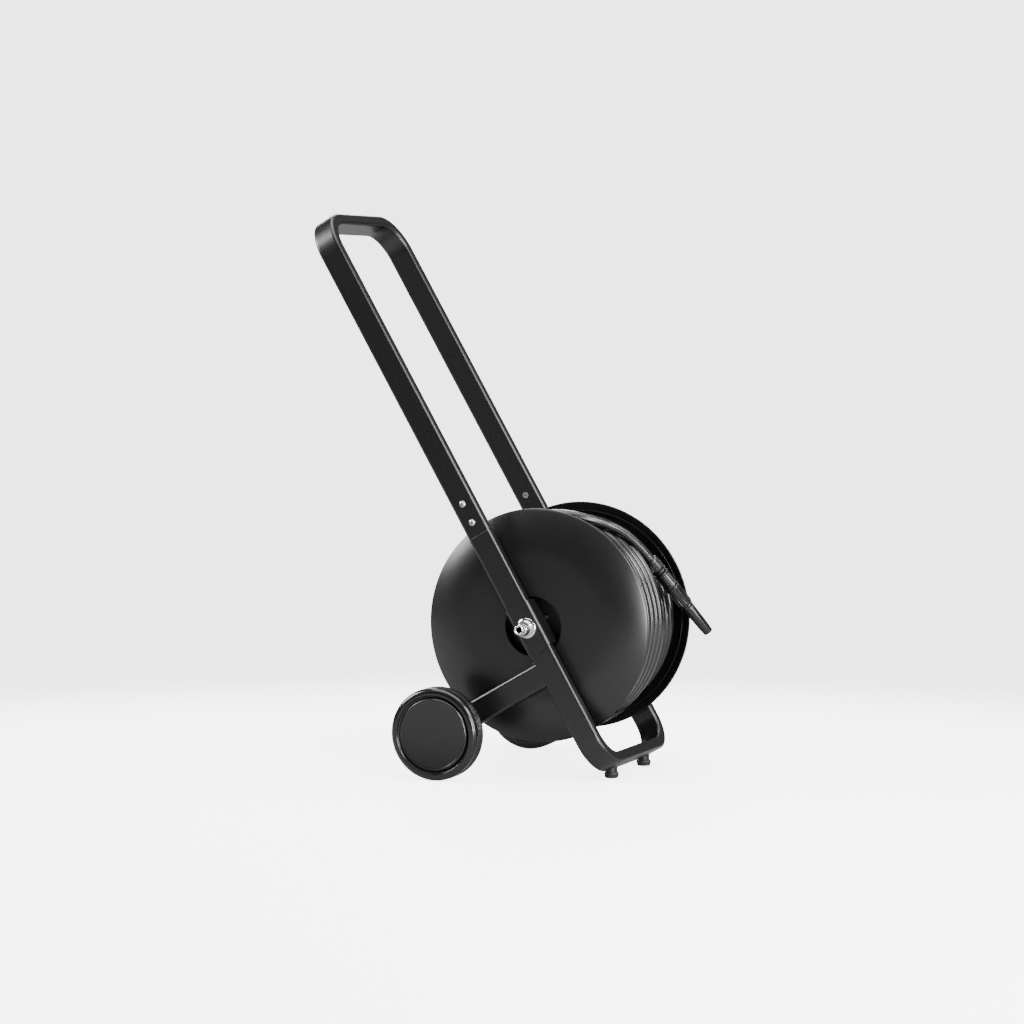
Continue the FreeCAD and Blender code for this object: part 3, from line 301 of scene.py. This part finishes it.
# %% Discs
DISC_R = 0.190
DISH_WIDTH = 0.076
DISH_DEPTH = 0.019
SHEET = 0.0015
HEM_WIDTH = 0.014
HEM_BEAD_HIGH = 0.0007
HEM_BEAD_WIDE = 0.0018
HOLE_R = 0.0488
SWEEP_POINTS = 28


def disc_outline():
    """The disc's section: distance 0 is its flat outer face, and it curves towards greater distances."""
    flat_r = DISC_R - DISH_WIDTH
    sweep = (DISH_WIDTH ** 2 + DISH_DEPTH ** 2) / (2 * DISH_DEPTH)

    def dish(depth, angle):
        return flat_r + (sweep - depth) * math.sin(angle), sweep - (sweep - depth) * math.cos(angle)

    edge = math.asin((DISH_WIDTH - SHEET) / (sweep - SHEET))
    fold = math.asin((DISH_WIDTH - HEM_WIDTH) / (sweep - SHEET))
    outline = [(HOLE_R, SHEET), (HOLE_R, 0.0)]
    outline += [dish(0, edge * i / SWEEP_POINTS) for i in range(SWEEP_POINTS + 1)]
    middle = dish(SHEET, edge)
    for i in range(1, 8):
        turn = edge - math.pi / 2 + math.pi * i / 8
        outline.append((middle[0] + SHEET * math.cos(turn), middle[1] + SHEET * math.sin(turn)))
    outline += [dish(2 * SHEET, edge + (fold - edge) * i / 6) for i in range(7)]
    for i in range(1, 9):
        turn = math.pi * i / 8
        inwards = HEM_BEAD_WIDE / sweep * (1 - math.cos(turn)) / 2
        outline.append(dish(2 * SHEET + HEM_BEAD_HIGH * math.sin(turn), fold - inwards))
    outline += [dish(SHEET, fold * (1 - i / SWEEP_POINTS)) for i in range(SWEEP_POINTS + 1)]
    return outline


for side_name, side in SIDES.items():
    low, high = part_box("disc_" + side_name)
    face_y = low.y if side < 0 else high.y
    bm = stand(spun(disc_outline(), steps=192), Vector((HUB.x, face_y, HUB.z)), (0, -side, 0))
    add_piece("pressed_disc_" + side_name, bm, "drum", "black_powder_coat", ["disc_" + side_name], 50)

# %% [markdown]
# ## Wheels
# A solid rubber tyre with four grooves round its tread sits on a plastic rim, closed by a flat cap with
# a chamfered edge. The tyre and the cap are lathe work; a step between them makes the dark groove.

# %% Wheels
TREAD_GROOVES = 4
TREAD_DEPTH = 0.0018
GROOVE_HALF = 0.0011
GROOVE_SLOPE = 1.5
SIDE_WALL = 0.86
SHOULDER = 0.115
SHOULDER_POINTS = 8
CAP_CHAMFER = 0.0022
CAP_SINK = 0.0006
SEAT_GAP = 0.0003


def tyre_outline(inner_r, r, wide, cap_r, cap_deep):
    """The tyre from its inner side (height 0) to its outer side (height wide)."""
    outline = [(inner_r, 0.0), (r * SIDE_WALL, 0.0)]
    shoulder = r * SHOULDER
    for i in range(1, SHOULDER_POINTS):
        turn = math.pi / 2 * i / SHOULDER_POINTS
        outline.append((r - shoulder + shoulder * math.sin(turn), shoulder * (1 - math.cos(turn))))
    land = (wide - 2 * shoulder) / (TREAD_GROOVES + 1)
    for i in range(1, TREAD_GROOVES + 1):
        middle = shoulder + land * i
        outline += [(r, middle - GROOVE_HALF * GROOVE_SLOPE), (r - TREAD_DEPTH, middle - GROOVE_HALF),
                    (r - TREAD_DEPTH, middle + GROOVE_HALF), (r, middle + GROOVE_HALF * GROOVE_SLOPE)]
    for i in range(1, SHOULDER_POINTS):
        turn = math.pi / 2 * (SHOULDER_POINTS - i) / SHOULDER_POINTS
        outline.append((r - shoulder + shoulder * math.sin(turn), wide - shoulder * (1 - math.cos(turn))))
    lip_r = cap_r + 0.0005
    outline += [(r * SIDE_WALL, wide), (cap_r + 0.0045, wide - 0.0004), (cap_r + 0.0032, wide - 0.0026),
                (lip_r, wide - 0.0036), (lip_r, wide - cap_deep), (inner_r, wide - cap_deep)]
    return outline


for side_name, side in SIDES.items():
    body = "wheel_" + side_name
    low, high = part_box("wheel_tyre_" + side_name)
    inner_y = high.y if side < 0 else low.y
    start = Vector(((low.x + high.x) / 2, inner_y, (low.z + high.z) / 2))
    way = (0, side, 0)
    _, wide, tyre_r = reach("wheel_tyre_" + side_name, start, way)
    cap_from, cap_to, cap_r = reach("wheel_cap_" + side_name, start, way)
    rim_r = reach("wheel_rim_" + side_name, start, way)[2]
    bm = spun(tyre_outline(rim_r + SEAT_GAP, tyre_r, wide, cap_r, wide - cap_from + SEAT_GAP), steps=160)
    soften(bm, 0.0004)
    add_piece("tyre_" + side_name, stand(bm, start, way), body, "wheel_tyre", ["wheel_tyre_" + side_name])
    outline = [(0.0, cap_from), (cap_r, cap_from), (cap_r, cap_to - CAP_CHAMFER),
               (cap_r - CAP_CHAMFER, cap_to), (cap_r * 0.94, cap_to), (cap_r * 0.925, cap_to - CAP_SINK),
               (0.0, cap_to - CAP_SINK)]
    bm = spun(outline, closed=False, steps=160)
    soften(bm, 0.00035)
    add_piece("cap_" + side_name, stand(bm, start, way), body, "black_plastic", ["wheel_cap_" + side_name])

# %% [markdown]
# ## Coupling and nozzle
# The free end carries a ribbed nut, a smooth coupling body with its release sleeve, and a nozzle whose
# collar has long finger flutes and whose tapered barrel turns. All lie on one line, so each is turned
# along that line, between the distances where the model's piece begins and ends. Ribs and flutes are
# cut by moving every few faces of a ring inwards, which keeps them part of the same skin.

# %% Coupling and nozzle
NOZZLE_AT = Vector(JOINTS["barrel_twist"]["pos_m"])
NOZZLE_WAY = Vector(JOINTS["barrel_twist"]["axis"]).normalized()
NUT_RIBS = 24
FLUTES = 10
STEM_R = 0.0062
WATERWAY_R = 0.0035
BARREL_TAIL_R = 0.0081
BARREL_POCKET_R = 0.0084
SPRAY_R = 0.0018
BARREL_GAP = 0.0003


def ribbed(bm, low, high, count, width_share, depth, radius_over=0.0):
    """Sinks evenly spaced strips of the outer wall between two heights."""
    strips = []
    for face in bm.faces:
        middle = face.calc_center_median()
        outer_wall = abs(face.normal.z) <= 0.5 and math.hypot(middle.x, middle.y) >= radius_over
        if not (low < middle.z < high and outer_wall):
            continue
        share = (math.atan2(middle.y, middle.x) / (2 * math.pi) * count) % 1.0
        if share < width_share:
            strips.append(face)
    bmesh.ops.inset_region(bm, faces=strips, thickness=depth * 0.35, depth=-depth, use_even_offset=True)


def along(node):
    """Where a model piece begins and ends along the nozzle's line, and its radius."""
    return reach(node, NOZZLE_AT, NOZZLE_WAY)


def add_on_nozzle(name, outline, body, node, bevel=0.0003, ribs=None, steps=96):
    bm = spun(outline, steps=steps)
    if ribs:
        ribbed(bm, *ribs)
    soften(bm, bevel, sharp=math.radians(22))
    return add_piece(name, stand(bm, NOZZLE_AT, NOZZLE_WAY), body, "black_plastic", [node])


back, ahead, r = along("coupling_nut")
outline = [(STEM_R, back), (r - 0.0022, back), (r - 0.0004, back + 0.0018), (r - 0.0004, back + 0.0032),
           (r, back + 0.004), (r, ahead - 0.005), (r - 0.0006, ahead - 0.004), (r - 0.0006, ahead - 0.0026),
           (r - 0.0022, ahead - 0.0022), (r - 0.0022, ahead), (STEM_R, ahead)]
coupling_parts = [add_on_nozzle(
    "ribbed_nut", outline, "drum", "coupling_nut", steps=192,
    ribs=(back + 0.004, ahead - 0.005, NUT_RIBS, 0.5, 0.0007, r * 0.9))]

back, ahead, r = along("coupling_body")
outline = [(WATERWAY_R, back), (STEM_R, back), (STEM_R, ahead - 0.0359), (r - 0.0005, ahead - 0.0359),
           (r, ahead - 0.0354), (r, ahead - 0.0335), (r - 0.0033, ahead - 0.033), (r - 0.0033, ahead),
           (WATERWAY_R, ahead)]
coupling_parts.append(add_on_nozzle("coupling_stem", outline, "drum", "coupling_body"))

back, ahead, r = along("coupling_sleeve")
outline = [(r - 0.0037, back), (r - 0.0012, back), (r - 0.0004, back + 0.0008), (r - 0.0004, back + 0.003),
           (r - 0.0012, back + 0.0036), (r - 0.0012, back + 0.005), (r - 0.0006, back + 0.0058),
           (r - 0.0008, ahead - 0.006), (r, ahead - 0.0045), (r, ahead - 0.0008), (r - 0.0008, ahead),
           (r - 0.0037, ahead)]
coupling_parts.append(add_on_nozzle("sleeve", outline, "release_sleeve", "coupling_sleeve"))

back, ahead, r = along("nozzle_collar")
outline = [(WATERWAY_R, back), (r - 0.0008, back), (r, back + 0.0008), (r, back + 0.0034),
           (r - 0.0006, back + 0.0042), (r - 0.001, ahead - 0.0035), (r - 0.0016, ahead - 0.001),
           (r - 0.0028, ahead), (BARREL_POCKET_R, ahead), (BARREL_POCKET_R, ahead - 0.014),
           (WATERWAY_R, ahead - 0.014)]
coupling_parts.append(add_on_nozzle(
    "fluted_collar", outline, "drum", "nozzle_collar", steps=200,
    ribs=(back + 0.0042, ahead - 0.0035, FLUTES, 0.4, 0.0016, r * 0.8)))

back, ahead, r = along("nozzle_barrel")
front = along("nozzle_collar")[1] + BARREL_GAP
outline = [(SPRAY_R, back), (BARREL_TAIL_R, back), (BARREL_TAIL_R, front), (r - 0.0006, front),
           (r, front + 0.0008), (r - 0.0001, front + 0.004), (r - 0.0006, front + 0.0048),
           (r - 0.0007, front + 0.0065), (r - 0.0003, front + 0.0072), (0.0086, ahead - 0.0075),
           (0.0082, ahead - 0.0068), (0.0082, ahead - 0.0012), (0.0074, ahead), (0.0056, ahead),
           (0.0052, ahead - 0.003), (SPRAY_R, ahead - 0.0034)]
coupling_parts.append(add_on_nozzle("tapered_barrel", outline, "nozzle_tip", "nozzle_barrel"))

# %% [markdown]
# ## Hub fittings, welds, feet and crank knob
# The inlet nipple is turned brass with bright chrome: a flange, a cone, a groove and a short tip.
# The welds are laid as a row of overlapping puddles, so each bead is a chain of small domes.
# The feet are moulded rubber with a rounded rim, and the crank's knob is a softly waisted grip.

# %% Inlet nipple
low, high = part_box("inlet_nipple")
start = Vector((HUB.x, high.y, HUB.z))
_, tall, flange_r = reach("inlet_nipple", start, (0, -1, 0))
BORE_R = 0.0045
NECK_R = 0.0092
GROOVE_R = 0.0067
TIP_R = 0.00825
nipple = [(BORE_R, 0.0), (flange_r, 0.0), (flange_r, 0.0034), (flange_r - 0.0018, 0.0046),
          (flange_r - 0.0036, 0.005), (flange_r - 0.0038, 0.0088), (flange_r - 0.0056, 0.0104),
          (flange_r - 0.0078, 0.0165), (NECK_R, 0.0205), (NECK_R, 0.0222), (GROOVE_R, 0.0232),
          (GROOVE_R, 0.0264), (TIP_R, 0.0272), (TIP_R, tall - 0.0012), (TIP_R - 0.0012, tall),
          (0.0062, tall), (0.0054, tall - 0.0012), (BORE_R, tall - 0.002)]
bm = spun(nipple, steps=120)
soften(bm, 0.00025)
add_piece("chromed_nipple", stand(bm, start, (0, -1, 0)), "frame", "chrome", ["inlet_nipple"])


# %% Feet
def foot_outline(r_top, r_bottom, tall):
    return [(0.0, 0.0), (r_bottom * 0.5, 0.0), (r_bottom * 0.55, 0.0006), (r_bottom - 0.0012, 0.0006),
            (r_bottom, 0.0018), (r_top - 0.0004, tall * 0.62), (r_top, tall * 0.7), (r_top, tall - 0.0014),
            (r_top - 0.0014, tall), (0.0, tall)]


for side_name in SIDES:
    low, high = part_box("foot_" + side_name)
    base = Vector(((low.x + high.x) / 2, (low.y + high.y) / 2, low.z))
    r_top = (high.x - low.x) / 2
    bm = spun(foot_outline(r_top, r_top - 0.001, high.z - low.z), closed=False, steps=72)
    soften(bm, 0.0004)
    bmesh.ops.translate(bm, vec=base, verts=bm.verts)
    add_piece("rubber_foot_" + side_name, bm, "frame", "black_rubber", ["foot_" + side_name])

# %% Weld beads
PUDDLE_STEP = 0.0019
PUDDLE_R = 0.0024
PUDDLE_LENGTH = 0.62
PUDDLE_TILT = math.radians(14)


def solids_of(node):
    """The lowest and highest corner of each separate solid in a model piece."""
    bm = bmesh.new()
    bm.from_mesh(NODES[node].data)
    bmesh.ops.remove_doubles(bm, verts=bm.verts, dist=1e-6)
    left = set(bm.verts)
    boxes = []
    while left:
        group, edge = set(), [left.pop()]
        while edge:
            vertex = edge.pop()
            group.add(vertex)
            for other in (e.other_vert(vertex) for e in vertex.link_edges):
                if other in left:
                    left.discard(other)
                    edge.append(other)
        corners = [v.co for v in group]
        boxes.append([Vector([pick(c[i] for c in corners) for i in range(3)]) for pick in (min, max)])
    bm.free()
    return sorted(boxes, key=lambda box: tuple(round(v, 4) for v in box[0]))


bm = bmesh.new()
for low, high in solids_of("weld_beads"):
    middle = (low + high) / 2
    count = int((high.y - low.y) / PUDDLE_STEP)
    for i in range(count + 1):
        y = low.y + (high.y - low.y) * i / count
        puddle = bmesh.ops.create_icosphere(bm, subdivisions=2, radius=PUDDLE_R)
        squash = Matrix.Diagonal((1.0, PUDDLE_LENGTH, 1.0, 1.0))
        tilt = Matrix.Rotation(PUDDLE_TILT, 4, "X")
        place = Matrix.Translation((middle.x, y, middle.z)) @ tilt @ squash
        bmesh.ops.transform(bm, matrix=place, verts=puddle["verts"])
add_piece("weld_puddles", bm, "frame", "black_powder_coat", ["weld_beads"], 60)

# %% Crank knob
low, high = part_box("crank_knob")
start = Vector(((low.x + high.x) / 2, low.y, (low.z + high.z) / 2))
_, tall, knob_r = reach("crank_knob", start, (0, 1, 0))
PIN_R = 0.0041
HEAD_POCKET_R = 0.0078
HEAD_POCKET_DEEP = 0.0042
KNOB_RIBS = 12
outline = [(PIN_R, 0.0), (knob_r * 0.72, 0.0), (knob_r * 0.86, 0.0008), (knob_r * 0.93, 0.003),
           (knob_r * 0.9, tall * 0.18), (knob_r * 0.84, tall * 0.4), (knob_r * 0.88, tall * 0.62),
           (knob_r * 0.98, tall * 0.8), (knob_r, tall * 0.87), (knob_r * 0.97, tall * 0.94),
           (knob_r * 0.88, tall * 0.985), (knob_r * 0.7, tall), (HEAD_POCKET_R, tall),
           (HEAD_POCKET_R, tall - HEAD_POCKET_DEEP), (PIN_R, tall - HEAD_POCKET_DEEP)]
bm = spun(outline, steps=96)
ribbed(bm, tall * 0.12, tall * 0.72, KNOB_RIBS, 0.34, 0.0008, knob_r * 0.6)
soften(bm, 0.0005, segments=3, sharp=math.radians(30))
add_piece("ribbed_knob", stand(bm, start, (0, 1, 0)), "knob", "black_plastic", ["crank_knob"], 40)

# %% [markdown]
# ## Finishes
# Everything is black, so the finishes differ in how they break up the light: powder coat has a fine
# orange peel, moulded plastic a spark-eroded grain, rubber tiny pits, and the hose has drawn lines
# along its skin. Two effects come back in most of them, a surface relief and an uneven gloss with a
# little settled dust, so each is built once as a node group and placed in each material.

# %% Shared effects
def new_group(name, inputs, outputs):
    """An empty node group with its sockets, and its input and output nodes."""
    tree = bpy.data.node_groups.new(name, "ShaderNodeTree")
    for label, kind, value in inputs:
        socket = tree.interface.new_socket(label, in_out="INPUT", socket_type=kind)
        if value is not None:
            socket.default_value = value
    for label, kind in outputs:
        tree.interface.new_socket(label, in_out="OUTPUT", socket_type=kind)
    return tree, tree.nodes.new("NodeGroupInput"), tree.nodes.new("NodeGroupOutput")


def math_node(tree, operation, *values):
    """A Math node whose inputs are numbers or sockets."""
    node = tree.nodes.new("ShaderNodeMath")
    node.operation = operation
    for i, value in enumerate(values):
        if isinstance(value, (int, float)):
            node.inputs[i].default_value = value
        else:
            tree.links.new(value, node.inputs[i])
    return node.outputs[0]


def noise_node(tree, vector, scale, detail=2.0, rough=0.5):
    node = tree.nodes.new("ShaderNodeTexNoise")
    node.inputs["Detail"].default_value = detail
    node.inputs["Roughness"].default_value = rough
    if isinstance(scale, (int, float)):
        node.inputs["Scale"].default_value = scale
    else:
        tree.links.new(scale, node.inputs["Scale"])
    tree.links.new(vector, node.inputs["Vector"])
    return node.outputs["Fac"]


def build_relief():
    """Fine relief: a coarse and a fine noise, with their sizes per metre."""
    tree, given, result = new_group(
        "surface_relief",
        [("Vector", "NodeSocketVector", None), ("Coarse", "NodeSocketFloat", 700.0),
         ("Fine", "NodeSocketFloat", 2600.0), ("Fine Share", "NodeSocketFloat", 0.35)],
        [("Height", "NodeSocketFloat")])
    coarse = noise_node(tree, given.outputs["Vector"], given.outputs["Coarse"], 1.0)
    fine = noise_node(tree, given.outputs["Vector"], given.outputs["Fine"], 2.0)
    height = math_node(tree, "MULTIPLY_ADD", fine, given.outputs["Fine Share"], coarse)
    tree.links.new(height, result.inputs["Height"])
    return tree


def build_wear():
    """Uneven gloss, and dust that settles on faces that look up."""
    tree, given, result = new_group(
        "gloss_and_dust",
        [("Vector", "NodeSocketVector", None), ("Roughness", "NodeSocketFloat", 0.4),
         ("Spread", "NodeSocketFloat", 0.08), ("Patch", "NodeSocketFloat", 14.0),
         ("Dust", "NodeSocketFloat", 0.1)],
        [("Roughness", "NodeSocketFloat"), ("Dust", "NodeSocketFloat")])
    patches = noise_node(tree, given.outputs["Vector"], given.outputs["Patch"], 4.0, 0.6)
    centred = math_node(tree, "SUBTRACT", patches, 0.5)
    uneven = math_node(tree, "MULTIPLY_ADD", centred, given.outputs["Spread"], given.outputs["Roughness"])
    geometry = tree.nodes.new("ShaderNodeNewGeometry")
    split = tree.nodes.new("ShaderNodeSeparateXYZ")
    tree.links.new(geometry.outputs["Normal"], split.inputs[0])
    upward = math_node(tree, "SMOOTH_MAX", split.outputs["Z"], 0.0, 0.1)
    specks = math_node(tree, "POWER", noise_node(tree, given.outputs["Vector"], 420.0, 4.0, 0.7), 3.0)
    settled = math_node(tree, "MULTIPLY", math_node(tree, "MULTIPLY", upward, specks), given.outputs["Dust"])
    roughness = math_node(tree, "ADD", uneven, math_node(tree, "MULTIPLY", settled, 0.5))
    tree.links.new(roughness, result.inputs["Roughness"])
    tree.links.new(settled, result.inputs["Dust"])
    return tree


RELIEF = build_relief()
WEAR = build_wear()
DUST_COLOUR = (0.30, 0.29, 0.27, 1.0)
print("shared effects:", RELIEF.name, WEAR.name)


# %% One finish
def start_finish(name, metallic=0.0):
    """A material with its shader; a constant goes straight on the shader's socket."""
    material = bpy.data.materials.new(name)
    material.use_nodes = True
    tree = material.node_tree
    shader = tree.nodes["Principled BSDF"]
    shader.inputs["Metallic"].default_value = metallic
    place = tree.nodes.new("ShaderNodeTexCoord")
    return material, tree, shader, place


def add_surface(tree, shader, vector, colour, relief, wear, depth):
    """Relief through a Bump node, uneven gloss, and dust mixed over the colour."""
    coarse, fine, fine_share = relief
    roughness, spread, patch, dust = wear
    bumps = tree.nodes.new("ShaderNodeGroup")
    bumps.node_tree = RELIEF
    tree.links.new(vector, bumps.inputs["Vector"])
    bumps.inputs["Coarse"].default_value = coarse
    bumps.inputs["Fine"].default_value = fine
    bumps.inputs["Fine Share"].default_value = fine_share
    bump = tree.nodes.new("ShaderNodeBump")
    bump.inputs["Strength"].default_value = 1.0
    bump.inputs["Distance"].default_value = depth
    tree.links.new(bumps.outputs["Height"], bump.inputs["Height"])
    tree.links.new(bump.outputs["Normal"], shader.inputs["Normal"])
    gloss = tree.nodes.new("ShaderNodeGroup")
    gloss.node_tree = WEAR
    tree.links.new(vector, gloss.inputs["Vector"])
    gloss.inputs["Roughness"].default_value = roughness
    gloss.inputs["Spread"].default_value = spread
    gloss.inputs["Patch"].default_value = patch
    gloss.inputs["Dust"].default_value = dust
    tree.links.new(gloss.outputs["Roughness"], shader.inputs["Roughness"])
    mix = tree.nodes.new("ShaderNodeMix")
    mix.data_type = "RGBA"
    tree.links.new(gloss.outputs["Dust"], mix.inputs["Factor"])
    mix.inputs["A"].default_value = (*colour, 1.0)
    mix.inputs["B"].default_value = DUST_COLOUR
    tree.links.new(mix.outputs["Result"], shader.inputs["Base Color"])
    return bump


# %% [markdown]
# Each finish is then a few lines: its colour, how coarse and deep its relief is, and how glossy and
# dusty it is. Depths are in metres, so orange peel is a few thousandths of a millimetre deep.

# %% Finishes
def simple_finish(name, colour, relief, wear, depth, metallic=0.0):
    """Relief is coarse, fine and fine share; wear is roughness, spread, patch and dust."""
    material, tree, shader, place = start_finish(name, metallic)
    add_surface(tree, shader, place.outputs["Object"], colour, relief, wear, depth)
    return material


def hose_skin():
    """Drawn lines run along the hose, so they follow the piece's own UV map."""
    colour = (0.0045, 0.0045, 0.0048)
    material, tree, shader, place = start_finish("hose_skin")
    bump = add_surface(tree, shader, place.outputs["Object"], colour, (500.0, 1900.0, 0.5),
                       (0.26, 0.05, 18.0, 0.05), 0.000005)
    stretch = tree.nodes.new("ShaderNodeMapping")
    stretch.inputs["Scale"].default_value = (30.0, 60.0, 1.0)
    tree.links.new(place.outputs["UV"], stretch.inputs["Vector"])
    lines = noise_node(tree, stretch.outputs["Vector"], 1.0, 2.0)
    drawn = tree.nodes.new("ShaderNodeBump")
    drawn.inputs["Distance"].default_value = 0.00003
    tree.links.new(lines, drawn.inputs["Height"])
    tree.links.new(drawn.outputs["Normal"], bump.inputs["Normal"])
    return material


FINISHES = {
    "black_powder_coat": simple_finish("powder_coat", (0.0026, 0.0026, 0.0027), (750.0, 3000.0, 0.3),
                                       (0.31, 0.04, 9.0, 0.04), 0.000005),
    "chrome": simple_finish("bright_chrome", (0.62, 0.62, 0.64), (300.0, 2500.0, 0.1),
                            (0.10, 0.06, 60.0, 0.02), 0.000003, metallic=1.0),
    "zinc_steel": simple_finish("zinc_plate", (0.42, 0.42, 0.44), (900.0, 3000.0, 0.5),
                                (0.34, 0.14, 50.0, 0.05), 0.000010, metallic=1.0),
    "brass": simple_finish("turned_brass", (0.52, 0.36, 0.14), (600.0, 2500.0, 0.4),
                           (0.28, 0.10, 40.0, 0.02), 0.000008, metallic=1.0),
    "black_rubber": simple_finish("foot_rubber", (0.0045, 0.0045, 0.0045), (900.0, 2800.0, 0.8),
                                  (0.55, 0.10, 60.0, 0.20), 0.000040),
    "black_plastic": simple_finish("grained_plastic", (0.0026, 0.0026, 0.0027), (1300.0, 3400.0, 0.6),
                                   (0.24, 0.06, 30.0, 0.05), 0.000005),
    "wheel_tyre": simple_finish("tyre_rubber", (0.0022, 0.0022, 0.0022), (500.0, 2400.0, 0.5),
                                (0.20, 0.06, 26.0, 0.08), 0.000004),
    "hose_rubber": hose_skin(),
}
SLOT_OF = {part["node"]: part["material_slot"] for part in frame["record"]["subparts"]}
for node, piece in NODES.items():
    piece.data.materials.clear()
    piece.data.materials.append(FINISHES[SLOT_OF[node]])
for piece in list(bpy.data.objects):
    if piece.name not in NODES and piece.get("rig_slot"):
        piece.data.materials.append(FINISHES[piece["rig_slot"]])
print("finishes:", ", ".join(m.name for m in FINISHES.values()))

# %% [markdown]
# ## Floor and light
# The cart stands on a pale floor that fades into an even pale studio. A white room would turn the
# black finishes grey, so the bright floor and studio are shown to the camera alone, and the cart itself
# sees a dim floor and a dim room. A large soft light hangs above, and soft lights stand left, right and
# behind: their reflections draw the bright edges of the tubes and the crescents on the discs' rims.

# %% Floor
FLOOR_R = 14.0
PALE = (0.86, 0.86, 0.865, 1.0)
STUDIO_SEEN = 4.3
FLOOR_GLOW = 4.6
POOL_CENTRE = (0.25, -0.6, 0.0)
POOL_FROM, POOL_TO = 1.30, 2.1
FLOOR_PAINT = (0.82, 0.82, 0.82, 1.0)
DIM_FLOOR = (0.36, 0.36, 0.36, 1.0)


def add_floor():
    """A round floor: the camera sees it bright and fading out, every other ray sees it dim."""
    bm = bmesh.new()
    bmesh.ops.create_circle(bm, cap_ends=True, segments=96, radius=FLOOR_R)
    mesh = bpy.data.meshes.new("floor")
    bm.to_mesh(mesh)
    bm.free()
    floor = bpy.data.objects.new("floor", mesh)
    bpy.context.scene.collection.objects.link(floor)
    material = bpy.data.materials.new("floor_paint")
    material.use_nodes = True
    tree = material.node_tree
    shader = tree.nodes["Principled BSDF"]
    shader.inputs["Base Color"].default_value = FLOOR_PAINT
    shader.inputs["Roughness"].default_value = 0.5
    place = tree.nodes.new("ShaderNodeTexCoord")
    distance = tree.nodes.new("ShaderNodeVectorMath")
    distance.operation = "DISTANCE"
    distance.inputs[1].default_value = POOL_CENTRE
    tree.links.new(place.outputs["Object"], distance.inputs[0])
    fade = tree.nodes.new("ShaderNodeMapRange")
    fade.interpolation_type = "SMOOTHSTEP"
    fade.inputs["From Min"].default_value = POOL_FROM
    fade.inputs["From Max"].default_value = POOL_TO
    tree.links.new(distance.outputs["Value"], fade.inputs["Value"])
    shader.inputs["Emission Color"].default_value = PALE
    shader.inputs["Emission Strength"].default_value = FLOOR_GLOW
    far = tree.nodes.new("ShaderNodeEmission")
    far.inputs["Color"].default_value = PALE
    far.inputs["Strength"].default_value = STUDIO_SEEN
    dim = tree.nodes.new("ShaderNodeBsdfDiffuse")
    dim.inputs["Color"].default_value = DIM_FLOOR
    rays = tree.nodes.new("ShaderNodeLightPath")
    seen = tree.nodes.new("ShaderNodeMixShader")
    tree.links.new(fade.outputs["Result"], seen.inputs["Fac"])
    tree.links.new(shader.outputs[0], seen.inputs[1])
    tree.links.new(far.outputs[0], seen.inputs[2])
    mix = tree.nodes.new("ShaderNodeMixShader")
    tree.links.new(rays.outputs["Is Camera Ray"], mix.inputs["Fac"])
    tree.links.new(dim.outputs[0], mix.inputs[1])
    tree.links.new(seen.outputs[0], mix.inputs[2])
    tree.links.new(mix.outputs[0], tree.nodes["Material Output"].inputs["Surface"])
    mesh.materials.append(material)
    return floor


# %% Light
STUDIO_LIGHT = 0.16


def add_studio():
    """The camera sees a pale studio; the surfaces are lit by a dimmer version of it."""
    world = bpy.data.worlds.new("studio")
    world.use_nodes = True
    tree = world.node_tree
    soft = tree.nodes["Background"]
    soft.inputs["Color"].default_value = PALE
    soft.inputs["Strength"].default_value = STUDIO_LIGHT
    seen = tree.nodes.new("ShaderNodeBackground")
    seen.inputs["Color"].default_value = PALE
    seen.inputs["Strength"].default_value = STUDIO_SEEN
    rays = tree.nodes.new("ShaderNodeLightPath")
    mix = tree.nodes.new("ShaderNodeMixShader")
    tree.links.new(rays.outputs["Is Camera Ray"], mix.inputs["Fac"])
    tree.links.new(soft.outputs[0], mix.inputs[1])
    tree.links.new(seen.outputs[0], mix.inputs[2])
    tree.links.new(mix.outputs[0], tree.nodes["World Output"].inputs["Surface"])
    bpy.context.scene.world = world


def add_light(name, bearing, rise, distance, wide, tall, watts):
    """A soft rectangular light that faces the cart from a bearing and a rise, both in degrees."""
    away = direction(math.radians(bearing), math.radians(rise))
    data = bpy.data.lights.new(name, "AREA")
    data.shape = "RECTANGLE"
    data.size = wide
    data.size_y = tall
    data.energy = watts
    light = bpy.data.objects.new(name, data)
    light.location = LIT_CENTRE + away * distance
    light.rotation_euler = away.to_track_quat("Z", "Y").to_euler()
    bpy.context.scene.collection.objects.link(light)


LIT_CENTRE = Vector((0.1, 0.0, 0.35))
# name, bearing and rise in degrees, distance, width and height in metres, watts
LIGHTS = (
    ("overhead", 0, 88, 2.7, 3.0, 3.0, 150),
    ("left_high", -72, 26, 2.8, 1.4, 1.1, 110),
    ("right_front", 45, 5, 3.2, 0.8, 1.3, 120),
    ("right_side", 78, 10, 3.0, 0.5, 1.4, 85),
    ("right_high", 66, 36, 3.0, 1.2, 1.0, 110),
    ("back_left", -150, 32, 3.2, 1.6, 1.2, 55),
    ("back_right", 118, 34, 3.2, 1.2, 1.0, 45),
)
add_floor()
add_studio()
for light in LIGHTS:
    add_light(*light)
print("lights:", ", ".join(light[0] for light in LIGHTS))
